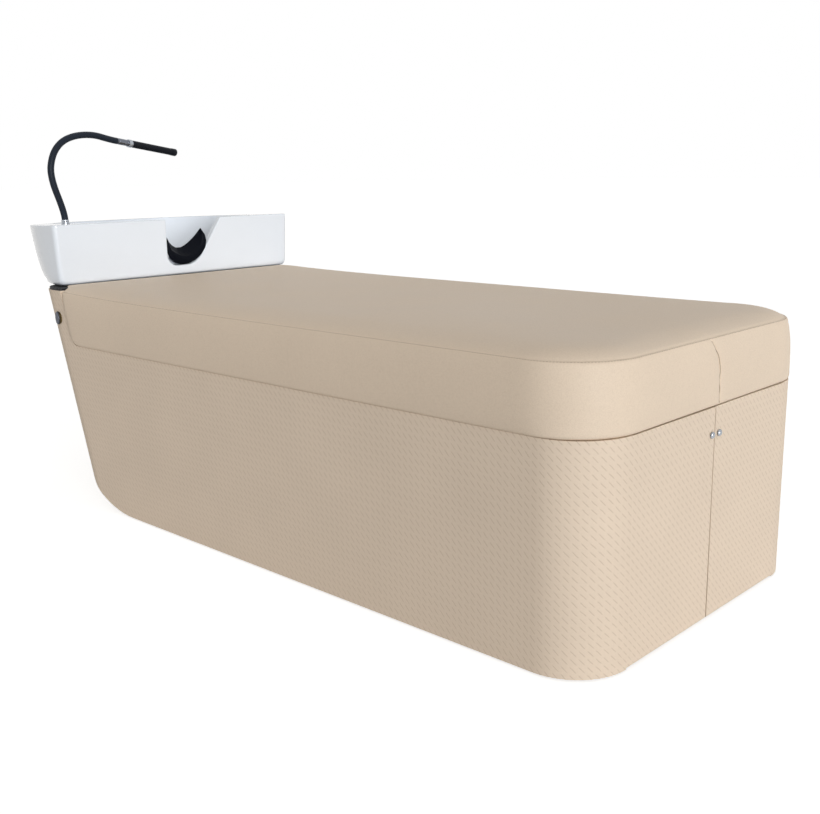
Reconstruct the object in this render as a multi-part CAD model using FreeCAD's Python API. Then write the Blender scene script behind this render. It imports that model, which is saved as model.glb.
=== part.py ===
import FreeCAD, Part
import math
import os

# A bed for washing hair: an upholstered base with two foot doors, a mattress
# cushion, and a ceramic basin with a neck rest and a gooseneck hose at the head.
# Millimetres and degrees. While a piece is made, y runs from the base's foot
# face (0) to the head, x runs across and z runs up from the floor. write()
# moves each piece so that the origin is the middle of the overall box.

V = FreeCAD.Vector
UP = V(0, 0, 1)
ACROSS = V(1, 0, 0)
HEADWARD = V(0, 1, 0)

# Shared clearances and cutting lengths
overrun = 60.0
soft_clearance = 0.3
seat_clearance = 0.4
running_clearance = 0.05

# Base: outer form
base_width = 800.0
base_height = 424.0
foot_corner_radius = 116.0
head_corner_radius = 90.0
head_overlap = 101.0
head_lean = 17.7
upstand_rise = 138.0
toe_radius = 300.0
shoulder_radius = 30.0
glide_height = 4.0
glide_radius = 20.0
glide_inset = 90.0

# Base: boards and fabric
skin = 4.0
board = 16.0
shell = skin + board
bulkhead_setback = 399.0
end_board = 12.0
deck_thickness = 6.0
deck_inset = 3.0
deck_front_radius = 6.0

# Foot doors
door_gap = 1.5
hinge_gap = 0.8
door_rest_gap = 0.5
door_top_gap = 2.0
door_floor_gap = 2.0
door_knob_place = 13.5
door_knob_drop = 53.0
door_knob_radius = 6.75
door_knob_reach = 15.5
knob_foot_radius = 5.0
knob_foot_height = 1.5
knob_neck_radius = 3.2
cup_radius = 17.5
cup_depth = 11.0
cup_floor = 2.0
cup_setback = 5.0
hinge_inset = 84.0
arm_height = 16.0
arm_thickness = 8.0
arm_length = 24.0
batten_width = 34.0
batten_depth = 30.0
magnet_place = 34.0
magnet_width = 24.0
magnet_depth = 24.0
magnet_height = 12.0
strike_thickness = 1.5
strike_size = 20.0
strike_gap = 0.3

# Cushion and the board under it
cushion_board = 12.0
cushion_board_inset = 30.0
cushion_overhang = 6.5
cushion_foot_overhang = 3.0
cushion_length = 1599.0
cushion_lift = 3.0
cushion_height = 141.0
cushion_head_rise = 10.0
cushion_lip = 23.0
cushion_lip_gap = 0.6
cushion_head_radius = 12.0
cushion_gap = 1.0
cushion_low_round = 8.0
cushion_end_round = 27.0
cushion_seam_round = 8.0
cushion_bulge = 2.0
cushion_crown_rise = 14.5
cushion_crown_reach = 210.0
cushion_round_steps = 3
cushion_side_steps = 4
# Each row: how far the crown has come in from the lip's level, and how far the lip is out.
lip_form_shares = ((0.0, 0.0), (0.03, 0.7), (0.12, 0.93), (0.28, 1.0), (0.62, 1.0), (1.0, 0.97))
crown_corner_share = 0.45

# Basin
basin_setback = 70.0
basin_rise = 154.0
basin_depth = 375.0
basin_top_inset = 12.0
basin_low_inset = 20.0
basin_edge_radius = 12.0
rim_drop = 10.0
basin_foot_round = 11.0
basin_foot_depth_share = 0.579
basin_foot_corner_share = 0.91
basin_rim_corner_share = 0.871
basin_spread_power = 0.6
basin_round_steps = 3
basin_side_steps = 7
basin_wall = 18.0
bowl_floor = 20.0
bowl_side = 118.0
# Each row: height share of the bowl, half-width share, front inset share and back place share.
bowl_form_shares = (
    (0.0, 0.50, 0.120, 0.480),
    (0.10, 0.68, 0.055, 0.610),
    (0.40, 0.86, 0.015, 0.790),
    (1.0, 1.0, 0.0, 0.935),
)
bowl_corner_share = 0.62
bowl_front_corner_share = 0.30
notch_left = -47.0
notch_lift = 22.0
notch_knee = 56.0
notch_right = 122.0
notch_bevel_knee = 41.0
notch_bevel_right = 146.0
notch_left_radius = 30.0
notch_right_radius = 62.0

# Neck rest
rest_proud = 3.0
rest_lip = 12.0
rest_tip_fall = 30.0
rest_saddle_fall = 14.0
rest_saddle_depth = 46.0
rest_tip_left = 77.0
rest_tip_right = 100.0
rest_saddle_left = -45.0
rest_saddle_right = 66.0
rest_saddle_middle = 4.0
rest_shoulder_x = 86.0
rest_shoulder_drop = 38.0

# What carries the basin
support_thickness = 4.0
support_side_inset = 100.0
support_front_gap = 8.0
support_reach = 199.0
gusset_inset = 110.0
gusset_thickness = 5.0
gusset_drop = 84.0
gusset_flange = 44.0
gusset_end = 7.0
gasket_thickness = 3.0
gasket_margin = 8.0
gasket_width = 16.0
bolt_radius = 4.0
bolt_head_radius = 7.0
bolt_head_height = 5.0
bolt_grip = 12.0
bolt_side_inset = 60.0
bolt_front_inset = 37.0
bolt_spacing = 134.0

# Waste
drain_place_share = 74 / 117
drain_radius = 22.0
drain_flange_radius = 33.0
drain_flange_height = 3.0
drain_tail = 30.0
strainer_radius = 20.0
strainer_depth = 8.0
strainer_wall = 1.5
strainer_hole = 2.2
strainer_ring = 11.0
strainer_hole_count = 8
strainer_grip_radius = 3.0
strainer_grip_height = 7.0
pipe_radius = 20.0
pipe_wall = 3.0
pipe_bend = 38.0
waste_drop = 82.0
waste_knee_setback = 3.0
trap_radius = 30.0
trap_drop = 162.0
trap_clearance = 1.0
trap_height = 84.0
trap_neck = 38.0
spigot_drop = 37.0
spigot_shoulder = 10.0
spigot_end_radius = 19.0
spigot_end_length = 30.0

# Water
valve_drop = 71.0
valve_setback = 9.0
valve_radius = 16.0
valve_length = 96.0
valve_flange_radius = 20.0
valve_flange_length = 6.0
valve_flange_gap = 4.4
water_knob_half_width = 9.5
water_knob_half_height = 17.0
water_knob_thickness = 5.5
water_knob_round = 2.5
water_knob_gap = 0.5
spindle_radius = 4.0
spindle_length = 40.0
valve_port_radius = 9.0
valve_port_length = 14.0
cold_port = 35.0
hot_port = 70.0
inlet_spread = 60.0
inlet_offset = 150.0
inlet_radius = 12.5
inlet_bore = 7.0
inlet_setback = 109.0
inlet_shoulder = 10.0
inlet_end_radius = 10.4
inlet_end_length = 15.0
supply_radius = 6.0
supply_bend = 40.0
outlet_bend = 28.0
# Middle points of the two supply hoses: across, back from the basin's front, and up
cold_route = ((-300.0, 169.0, 230.0), (-60.0, 199.0, 154.0))
hot_route = ((-250.0, 149.0, 260.0), (60.0, 179.0, 154.0))

# Gooseneck hose: its foot on the basin's ledge and its route in an upright plane
hose_side_inset = 74.0
hose_front_inset = 51.0
hose_turn = 7.8
hose_radius = 7.8
hose_base_radius = 11.0
hose_base_height = 2.5
hose_tail_radius = 6.0
hose_tail_drop = 22.0
hose_pivot_radius = 5.0
hose_pivot_height = 6.0
swivel_nut_radius = 10.0
swivel_nut_height = 9.0
# Distance from the foot and height above the basin's rim, from the nut upwards
hose_route = (
    (0.0, 29.0),
    (-35.0, 123.0),
    (-24.0, 176.0),
    (6.0, 211.0),
    (52.0, 228.5),
    (112.0, 232.0),
    (166.0, 219.5),
    (190.0, 216.0),
)
bend_share = 0.45
spout_tip = (400.0, 185.5)
coupling_radius = 8.6
coupling_length = 54.0
coupling_waist_radius = 7.6
coupling_waist_length = 12.0
coupling_waist_start = 38.0
collar_radius = 10.8
collar_round = 1.5
spout_radius = 8.1
spout_bore_radius = 6.0
spout_solid_length = 6.0

# Places worked out from the sizes above
half_width = base_width / 2
door_hinge_x = half_width - foot_corner_radius
door_low = glide_height + door_floor_gap
door_high = base_height - door_top_gap
door_knob_height = base_height - door_knob_drop
hinge_heights = (door_low + hinge_inset, base_height - hinge_inset)
cushion_low = base_height + cushion_lift
upstand_height = base_height + upstand_rise
deck_top = upstand_height + deck_thickness
support_low = deck_top
cushion_head_share = 1 + cushion_head_rise / cushion_height
gasket_low = support_low + support_thickness
basin_low = gasket_low + gasket_thickness
basin_high = basin_low + basin_rise
bowl_low = basin_low + bowl_floor
notch_bottom = basin_low + notch_lift
basin_front = cushion_length + basin_setback
basin_back = basin_front + basin_depth
head_reach = basin_front + head_overlap
bulkhead_place = cushion_length - bulkhead_setback
foot_face = -(door_knob_reach + basin_back) / 2 + door_knob_reach
bowl_half_width = half_width - bowl_side
bowl_floor_near = basin_wall + basin_depth * bowl_form_shares[0][2]
bowl_floor_far = basin_depth * bowl_form_shares[0][3]
drain_reach = bowl_floor_near + (bowl_floor_far - bowl_floor_near) * drain_place_share
support_half_width = half_width - support_side_inset
support_back = basin_front + support_reach
gusset_place = support_half_width - gusset_inset
bolt_place_x = support_half_width - bolt_side_inset
bolt_front = basin_front + bolt_front_inset
bolt_back = bolt_front + bolt_spacing
drain_place = basin_front + drain_reach
waste_cross_height = support_low - waste_drop
waste_knee_place = basin_front - waste_knee_setback
trap_top = base_height - trap_drop
spigot_height = trap_top - spigot_drop
valve_height = upstand_height - valve_drop
valve_place = basin_front - valve_setback
inlet_height = glide_height + inlet_offset
inlet_start = basin_front - inlet_setback
hose_foot_x = -half_width + hose_side_inset
hose_foot_y = basin_front + hose_front_inset
hose_tail_low = upstand_height - hose_tail_drop
ledge_height = basin_high - rim_drop * (hose_front_inset - hose_base_radius) / basin_depth


def write(name, shape):
    """Move a finished piece into the part's own frame and save it."""
    if not shape.isValid():
        raise ValueError(name + " is not a valid solid")
    placed = shape.copy()
    placed.translate(V(0, foot_face, 0))
    placed.exportStep("parts/" + name + ".step")
    box = placed.BoundBox
    print("%-20s solids %d  volume %10.0f  x %7.1f %7.1f  y %7.1f %7.1f  z %6.1f %6.1f" % (
        name, len(placed.Solids), placed.Volume,
        box.XMin, box.XMax, box.YMin, box.YMax, box.ZMin, box.ZMax))


def block(x0, x1, y0, y1, z0, z1):
    return Part.makeBox(x1 - x0, y1 - y0, z1 - z0, V(x0, y0, z0))


def mirrored(shape):
    """The same piece on the other side of the bed."""
    return shape.mirror(V(0, 0, 0), ACROSS)


def rounded_wire(points, radii):
    """Closed outline through points, with a tangent arc of the given radius at each."""
    count = len(points)
    starts = []
    ends = []
    middles = []
    for index, point in enumerate(points):
        into = (point - points[index - 1]).normalize()
        out = (points[(index + 1) % count] - point).normalize()
        half_turn = into.getAngle(out) / 2
        reach = radii[index] * math.tan(half_turn)
        starts.append(point - into * reach)
        ends.append(point + out * reach)
        inward = (out - into).normalize()
        centre = point + inward * (radii[index] / math.cos(half_turn))
        middles.append(centre - inward * radii[index])
    edges = []
    for index in range(count):
        if radii[index] > 0:
            edges.append(Part.Arc(starts[index], middles[index], ends[index]).toShape())
        following = starts[(index + 1) % count]
        edges.append(Part.LineSegment(ends[index], following).toShape())
    return Part.Wire(edges)


def side_prism(points, radii, x0, x1):
    """Solid with a (y, z) outline, from x0 to x1."""
    outline = rounded_wire([V(x0, y, z) for y, z in points], radii)
    return Part.Face(outline).extrude(ACROSS * (x1 - x0))


def half_turns(points):
    """Half of the angle that an open path turns through at each corner."""
    return [(point - before).getAngle(after - point) / 2
            for before, point, after in zip(points, points[1:], points[2:])]


def even_reaches(points, radius):
    """How far from each corner its arc starts, so that all bends have one radius."""
    return [radius * math.tan(half_turn) for half_turn in half_turns(points)]


def shared_reaches(points, share):
    """How far from each corner its arc starts, as a share of the shorter run beside it."""
    return [share * min((point - before).Length, (after - point).Length)
            for before, point, after in zip(points, points[1:], points[2:])]


def bent_path(points, reaches):
    """Open path of straight runs joined by tangent arcs."""
    edges = []
    start = points[0]
    bends = zip(points, points[1:], points[2:], reaches, half_turns(points))
    for before, point, after, reach, half_turn in bends:
        into = (point - before).normalize()
        out = (after - point).normalize()
        radius = reach / math.tan(half_turn)
        inward = (out - into).normalize()
        middle = point + inward * (radius / math.cos(half_turn) - radius)
        edges.append(Part.LineSegment(start, point - into * reach).toShape())
        edges.append(Part.Arc(point - into * reach, middle, point + out * reach).toShape())
        start = point + out * reach
    edges.append(Part.LineSegment(start, points[-1]).toShape())
    return Part.Wire(edges)


def tube(path, radius, name):
    """Round solid along a path. Its volume is compared with section times length."""
    first = path.Edges[0]
    begin = first.valueAt(first.FirstParameter)
    direction = first.tangentAt(first.FirstParameter)
    ring = Part.Wire(Part.makeCircle(radius, begin, direction))
    solid = path.makePipeShell([ring], True, False)
    expected = math.pi * radius ** 2 * path.Length
    print("%-20s length %7.1f  volume share of section x length %.4f" % (
        name, path.Length, solid.Volume / expected))
    return solid


def rod(start, direction, radius, length):
    return Part.makeCylinder(radius, length, start, direction)


def lean_shift(height):
    """How far a leaning face moves towards the head over a height."""
    return height * math.tan(math.radians(head_lean))


def head_face(z, inset):
    """Place of the head wall's leaning face, a distance inset behind the outside."""
    return (head_reach - lean_shift(upstand_height - z)
            - inset / math.cos(math.radians(head_lean)))


def bay_end(z):
    """Place of the leaning face that closes the cushion's bay."""
    return cushion_length + lean_shift(z - cushion_low) + cushion_gap


def hull(inset):
    """Outer form of the base and its upstand, drawn in by inset all round."""
    low = glide_height
    high = upstand_height
    half = half_width - inset
    far = head_face(high, inset) + overrun
    foot_radius = foot_corner_radius - inset
    foot_outline = rounded_wire(
        [V(-half, inset, low), V(half, inset, low), V(half, far, low), V(-half, far, low)],
        [foot_radius, foot_radius, 0, 0])
    upright = Part.Face(foot_outline).extrude(UP * (high - low))
    head_radius = head_corner_radius - inset
    back = head_face(low, inset)
    near = -lean_shift(high - low) - overrun
    head_outline = rounded_wire(
        [V(-half, near, low), V(half, near, low), V(half, back, low), V(-half, back, low)],
        [0, 0, head_radius, head_radius])
    leaning = Part.Face(head_outline).extrude(V(0, lean_shift(high - low), high - low))
    floor = low + inset
    toe = side_prism(
        [(-overrun, floor), (head_face(floor, inset), floor),
         (head_face(high, inset), high), (-overrun, high)],
        [0, toe_radius - inset, 0, 0],
        -half_width - overrun, half_width + overrun)
    return upright.common(leaning).common(toe)


def bay():
    """The space above the base that holds the cushion."""
    top = upstand_height + overrun
    return side_prism(
        [(-overrun, base_height), (bay_end(base_height), base_height),
         (bay_end(top), top), (-overrun, top)],
        [0, shoulder_radius, 0, 0],
        -half_width - overrun, half_width + overrun)


def toe_start():
    """Where the base's underside starts to curve up towards the head."""
    turn = math.radians(90 - head_lean)
    return head_face(glide_height, 0) - toe_radius * math.tan(turn / 2)


def wall_face(z, inset):
    """Place of the head wall at a height, on its leaning face or on the curve below it."""
    centre_height = glide_height + toe_radius
    if z > centre_height - toe_radius * math.sin(math.radians(head_lean)):
        return head_face(z, inset)
    return toe_start() + math.sqrt((toe_radius - inset) ** 2 - (centre_height - z) ** 2)


def trap_place():
    """Place of the trap, whose lower end stands just clear of the head wall."""
    return wall_face(trap_top - trap_height, shell) - trap_radius - trap_clearance


def door_opening():
    """The space between the two rounded foot corners."""
    return block(-door_hinge_x, door_hinge_x, -overrun, shell, 0, base_height + overrun)


def pipe_space():
    """What the waste, the two inlets and the valve need to pass through the shell."""
    spigot = rod(V(0, trap_place(), spigot_height), HEADWARD, pipe_radius + seat_clearance,
                 head_reach)
    cross = rod(V(0, waste_knee_place, waste_cross_height), HEADWARD,
                pipe_radius + seat_clearance, head_reach)
    spaces = [spigot, cross]
    for side in (-1, 1):
        spaces.append(rod(V(side * inlet_spread, inlet_start, inlet_height), HEADWARD,
                          inlet_radius + seat_clearance, head_reach))
    spaces.append(rod(V(-half_width - overrun, valve_place, valve_height), ACROSS,
                      valve_radius + seat_clearance, overrun + shell + overrun))
    return Part.makeCompound(spaces)


def base_shell():
    """The boards and the fabric that make the outside of the base."""
    outer = hull(0)
    middle = hull(skin)
    inner = hull(shell)
    spare = bay()
    doorway = door_opening()
    holes = pipe_space()
    walls = middle.cut(inner).cut(spare).cut(doorway).cut(holes)
    start = toe_start()
    low = glide_height + skin
    floor_zone = block(-half_width, half_width, -overrun, start, 0, glide_height + shell)
    floor_inside = column(shell, 0, glide_height + shell)
    floor = walls.common(floor_zone).common(floor_inside)
    walls = walls.cut(floor_inside.common(floor_zone))
    corner = block(-half_width, -door_hinge_x, 0, foot_corner_radius, 0, base_height)
    foot_corner = walls.common(corner)
    edge = head_face(upstand_height, 0) - head_corner_radius
    foot = head_face(0, 0) - head_corner_radius
    side_zone = side_prism(
        [(foot_corner_radius, 0), (foot, 0), (edge, upstand_height),
         (foot_corner_radius, upstand_height)],
        [0, 0, 0, 0], -half_width, -half_width + shell)
    side_left = walls.common(side_zone)
    side_right = walls.common(mirrored(side_zone))
    head_zone = block(-half_width, half_width, foot_corner_radius, head_reach, 0,
                      upstand_height)
    head = walls.common(head_zone).cut(side_zone).cut(mirrored(side_zone))
    cover = outer.cut(middle).cut(spare).cut(doorway).cut(holes)
    under = column(skin, 0, low).common(block(-half_width, half_width, 0, start, 0, low))
    cover = cover.cut(under)
    write("floor_board", floor)
    write("foot_corner_left", foot_corner)
    write("foot_corner_right", mirrored(foot_corner))
    write("side_wall_left", side_left)
    write("side_wall_right", side_right)
    write("head_wall", head)
    write("base_cover", cover)


def column(inset, low, high):
    """An upright block with the base's plan, drawn in by inset, from the foot to the head."""
    half = half_width - inset
    radius = foot_corner_radius - inset
    outline = rounded_wire(
        [V(-half, inset, low), V(half, inset, low),
         V(half, head_reach, low), V(-half, head_reach, low)],
        [radius, radius, 0, 0])
    return Part.Face(outline).extrude(UP * (high - low))


def inner_boards():
    """The boards inside the base: deck, bulkhead, the upstand's front and its black top."""
    low = base_height - board
    front = shell + door_rest_gap
    far = bay_end(base_height) + end_board
    plan = column(shell, low, base_height)
    deck = plan.common(block(-half_width, half_width, front, far, low, base_height))
    write("top_board", deck)
    bulkhead = block(-half_width + shell, half_width - shell, bulkhead_place,
                     bulkhead_place + board, glide_height + shell, low)
    write("bulkhead", bulkhead)
    thickness = end_board / math.cos(math.radians(head_lean))
    end_wall = side_prism(
        [(bay_end(base_height), base_height),
         (bay_end(base_height) + thickness, base_height),
         (bay_end(upstand_height) + thickness, upstand_height),
         (bay_end(upstand_height), upstand_height)],
        [0, 0, 0, 0], -half_width + shell, half_width - shell)
    lower_lip = side_prism(
        [(bay_end(base_height) - shoulder_radius, base_height),
         (bay_end(base_height), base_height),
         (bay_end(base_height + shoulder_radius), base_height + shoulder_radius)],
        [0, 0, 0], -half_width + shell, half_width - shell)
    end_wall = end_wall.fuse(lower_lip).removeSplitter().cut(bay())
    write("upstand_front", end_wall)
    half = half_width - deck_inset
    near = bay_end(upstand_height + deck_thickness)
    back = head_face(upstand_height, deck_inset)
    back_radius = head_corner_radius - deck_inset
    outline = rounded_wire(
        [V(-half, near, upstand_height), V(half, near, upstand_height),
         V(half, back, upstand_height), V(-half, back, upstand_height)],
        [deck_front_radius, deck_front_radius, back_radius, back_radius])
    top = Part.Face(outline).extrude(UP * deck_thickness)
    for place in bolt_places():
        top = top.cut(bolt_hole(place))
    top = top.cut(hose_tail_space())
    write("head_deck", top)


def glides():
    """Six round glides under the floor board and its curved end."""
    far = toe_start() - glide_inset
    feet = []
    for side in (-1, 1):
        for place in (glide_inset, (glide_inset + far) / 2, far):
            centre = V(side * (half_width - glide_inset), place, 0)
            feet.append(rod(centre, UP, glide_radius, glide_height + skin))
    write("glide_feet", Part.makeCompound(feet))


def door(side):
    """One foot door with its fabric, knob, hinge cups and strike plate, on the left."""
    x0 = -door_hinge_x + hinge_gap
    x1 = -door_gap / 2
    panel = block(x0, x1, skin, shell, door_low, door_high)
    cover = block(x0, x1, 0, skin, door_low, door_high)
    cups = []
    for height in hinge_heights:
        centre = V(x0 + cup_setback + cup_radius, shell, height)
        panel = panel.cut(rod(centre, -HEADWARD, cup_radius, cup_depth))
        cup = rod(centre, -HEADWARD, cup_radius, cup_depth)
        cups.append(cup.cut(rod(centre, -HEADWARD, cup_radius - cup_floor,
                                cup_depth - cup_floor)))
    strike = block(-magnet_place - strike_size / 2, -magnet_place + strike_size / 2,
                   shell, shell + strike_thickness,
                   base_height - board - magnet_height, base_height - board)
    pieces = {
        "foot_door": panel,
        "door_cover": cover,
        "door_knob": door_knob(),
        "hinge_cups": Part.makeCompound(cups),
        "strike_plate": strike,
    }
    for name, piece in pieces.items():
        if side == "left":
            write(name + "_left", piece)
        else:
            write(name + "_right", mirrored(piece))


def door_knob():
    """Ball knob on a short neck and a round foot."""
    seat = V(-door_knob_place, 0, door_knob_height)
    middle = seat - HEADWARD * (door_knob_reach - door_knob_radius)
    foot = rod(seat, -HEADWARD, knob_foot_radius, knob_foot_height)
    neck = rod(seat, -HEADWARD, knob_neck_radius, door_knob_reach - door_knob_radius)
    return Part.makeSphere(door_knob_radius, middle).fuse([foot, neck]).removeSplitter()


def door_fittings():
    """What stays on the base beside the doors: battens, hinge arms and magnets."""
    inside = column(shell, glide_height + shell, base_height - board)
    batten = block(-door_hinge_x - hinge_gap - batten_width, -door_hinge_x - hinge_gap,
                   shell, shell + batten_depth, glide_height + shell, base_height - board)
    batten = batten.common(inside)
    write("hinge_batten_left", batten)
    write("hinge_batten_right", mirrored(batten))
    arms = []
    front = shell + door_rest_gap
    for height in hinge_heights:
        arms.append(block(-door_hinge_x - hinge_gap, -door_hinge_x - hinge_gap + arm_length,
                          front, front + arm_thickness,
                          height - arm_height / 2, height + arm_height / 2))
    write("hinge_arms_left", Part.makeCompound(arms))
    write("hinge_arms_right", mirrored(Part.makeCompound(arms)))
    top = base_height - board
    near = shell + strike_thickness + strike_gap
    magnets = []
    for side in (-1, 1):
        middle = side * magnet_place
        magnets.append(block(middle - magnet_width / 2, middle + magnet_width / 2,
                             near, near + magnet_depth, top - magnet_height, top))
    write("catch_magnets", Part.makeCompound(magnets))


def cushion_section(height, inset, end_inset):
    """One outline of the cushion, higher at the head, its head end leaning with the upstand."""
    z = cushion_low + height
    far_height = height * cushion_head_share
    far_z = cushion_low + far_height
    half = half_width + cushion_overhang - inset
    near = -cushion_foot_overhang + inset
    far = cushion_length + lean_shift(far_height) - end_inset
    foot_radius = foot_corner_radius + cushion_foot_overhang - inset * crown_corner_share
    head_radius = cushion_head_radius
    return rounded_wire(
        [V(-half, near, z), V(half, near, z), V(half, far, far_z), V(-half, far, far_z)],
        [foot_radius, foot_radius, head_radius, head_radius])


def round_inset(height, radius):
    """How far a quarter round stands back at a height above its lowest line."""
    below = max(radius - height, 0)
    return radius - math.sqrt(radius ** 2 - below ** 2)


def cushion_levels():
    """Height, inset and head end inset of each level, from the underside to the crown.

    At the head the crown runs out over the deck as a lip.
    """
    seam = cushion_height - cushion_crown_rise
    side_high = seam - cushion_seam_round
    heights = []
    for step in range(cushion_round_steps):
        angle = math.radians(90 * step / cushion_round_steps)
        heights.append(cushion_low_round * (1 - math.cos(angle)))
    for step in range(cushion_round_steps):
        share = step / cushion_round_steps
        heights.append(cushion_low_round + (cushion_end_round - cushion_low_round) * share)
    for step in range(cushion_side_steps + 1):
        share = step / cushion_side_steps
        heights.append(cushion_end_round + (side_high - cushion_end_round) * share)
    levels = []
    for height in heights:
        share = max(height - cushion_low_round, 0) / (side_high - cushion_low_round)
        drawn_in = cushion_bulge * (1 - math.sin(math.pi * share))
        levels.append((height, drawn_in + round_inset(height, cushion_low_round),
                       round_inset(height, cushion_end_round)))
    for step in range(1, cushion_round_steps):
        angle = math.radians(90 * step / cushion_round_steps)
        inset = cushion_seam_round * (1 - math.cos(angle))
        levels.append((side_high + cushion_seam_round * math.sin(angle),
                       cushion_bulge + inset, 0))
    levels.append((seam, cushion_bulge + cushion_seam_round, 0))
    lip_height = (deck_top + cushion_lip_gap - cushion_low) / cushion_head_share
    lip_share = 1 - math.sqrt(1 - (lip_height - seam) / cushion_crown_rise)
    for crown_share, out_share in lip_form_shares:
        share = lip_share + (1 - lip_share) * crown_share
        inset = cushion_seam_round + cushion_crown_reach * share
        levels.append((seam + cushion_crown_rise * (1 - (1 - share) ** 2),
                       cushion_bulge + inset, -cushion_lip * out_share))
    return levels


def cushion_board_block(clearance):
    """The board under the cushion, or with a clearance the hollow that it fills."""
    inset = cushion_board_inset - clearance
    half = half_width - inset
    far = cushion_length - inset
    radius = foot_corner_radius - inset
    outline = rounded_wire(
        [V(-half, inset, base_height), V(half, inset, base_height),
         V(half, far, base_height), V(-half, far, base_height)],
        [radius, radius, 0, 0])
    return Part.Face(outline).extrude(UP * (cushion_board + clearance))


def cushion():
    """Mattress cushion: crowned top, bulging sides, leaning head end, board let in below."""
    sections = [cushion_section(*level) for level in cushion_levels()]
    pad = Part.makeLoft(sections, True, True)
    write("cushion", pad.cut(cushion_board_block(soft_clearance)))
    write("cushion_board", cushion_board_block(0))


def basin_section(z, spread, inset):
    """One level outline of the basin's outside, with a flat front and a round back.

    spread goes from 0 at the foot to 1 at the rim.
    """
    side_inset = basin_low_inset + (basin_top_inset - basin_low_inset) * spread
    depth_share = basin_foot_depth_share + (1 - basin_foot_depth_share) * spread
    corner_share = (basin_foot_corner_share
                    + (basin_rim_corner_share - basin_foot_corner_share) * spread)
    half = half_width - side_inset - inset
    depth = basin_depth * depth_share
    near = basin_front + inset
    far = basin_front + depth - inset
    back_radius = min(half_width - side_inset, depth) * corner_share - 2 * inset
    return rounded_wire(
        [V(-half, near, z), V(half, near, z), V(half, far, z), V(-half, far, z)],
        [basin_edge_radius, basin_edge_radius, back_radius, back_radius])


def basin_body():
    """The basin's outside as one solid, its rim falling a little towards the back."""
    sections = []
    for step in range(basin_round_steps):
        angle = math.radians(90 * step / basin_round_steps)
        sections.append(basin_section(basin_low + basin_foot_round * (1 - math.cos(angle)), 0,
                                      basin_foot_round * (1 - math.sin(angle))))
    side_low = basin_low + basin_foot_round
    side_high = basin_high - rim_drop
    for step in range(basin_side_steps + 1):
        rise = (step / basin_side_steps) ** 2
        sections.append(basin_section(side_low + (side_high - side_low) * rise,
                                      rise ** basin_spread_power, 0))
    sections.append(basin_section(basin_high, 1, 0))
    body = Part.makeLoft(sections, True, True)
    slope = math.degrees(math.atan(rim_drop / basin_depth))
    above = block(-base_width, base_width, -overrun, basin_depth + overrun, 0, overrun)
    above.rotate(V(0, 0, 0), ACROSS, -slope)
    above.translate(V(0, basin_front, basin_high))
    return body.cut(above)


def bowl():
    """The hollow that holds the head."""
    depth = basin_high - bowl_low
    sections = []
    for height_share, width_share, front_share, back_share in bowl_form_shares:
        half = bowl_half_width * width_share
        z = bowl_low + height_share * depth
        near = basin_front + basin_wall + front_share * basin_depth
        far = basin_front + back_share * basin_depth
        radius = min(half, far - near) * bowl_corner_share
        front_radius = radius * bowl_front_corner_share
        sections.append(rounded_wire(
            [V(-half, near, z), V(half, near, z), V(half, far, z), V(-half, far, z)],
            [front_radius, front_radius, radius, radius]))
    return Part.makeLoft(sections, True, False)


def notch_outline(y, knee, right, clearance):
    """Outline of the cut for the neck: its left flank upright, its right one leaning out."""
    top = basin_high + overrun
    left = notch_left + clearance
    low = notch_bottom + clearance
    lean = (right - knee) / (basin_high - notch_bottom)
    reach = knee - clearance + lean * (top - low)
    return rounded_wire(
        [V(left, y, low), V(knee - clearance, y, low), V(reach, y, top), V(left, y, top)],
        [notch_left_radius - clearance, notch_right_radius - clearance, 0, 0])


def notch(clearance, y0, y1):
    """The cut in the basin's front wall for the neck, less a clearance all round."""
    outline = notch_outline(y0, notch_knee, notch_right, clearance)
    return Part.Face(outline).extrude(HEADWARD * (y1 - y0))


def notch_bevel():
    """The slanting cut that widens the notch's right flank towards the front."""
    return Part.makeLoft(
        [notch_outline(basin_front, notch_bevel_knee, notch_bevel_right, 0),
         notch_outline(basin_front + basin_wall, notch_knee, notch_right, 0)], True, True)


def bolt_places():
    return [V(side * bolt_place_x, place, 0)
            for side in (-1, 1) for place in (bolt_front, bolt_back)]


def bolt_hole(place):
    start = V(place.x, place.y, upstand_height - overrun)
    reach = basin_low + bolt_grip - upstand_height + overrun
    return rod(start, UP, bolt_radius + running_clearance, reach)


def hose_tail_space():
    start = V(hose_foot_x, hose_foot_y, hose_tail_low - overrun)
    return rod(start, UP, hose_tail_radius + seat_clearance,
               basin_high + overrun - hose_tail_low + overrun)


def drain_space():
    start = V(0, drain_place, basin_low - overrun)
    return rod(start, UP, drain_radius + seat_clearance, bowl_floor + overrun)


def basin():
    body = basin_body().cut(bowl())
    gap = notch(0, basin_front - overrun, basin_front + basin_wall + rest_lip)
    body = body.cut(gap).cut(notch_bevel()).cut(hose_tail_space()).cut(drain_space())
    for place in bolt_places():
        body = body.cut(bolt_hole(place))
    write("basin", body)


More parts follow.
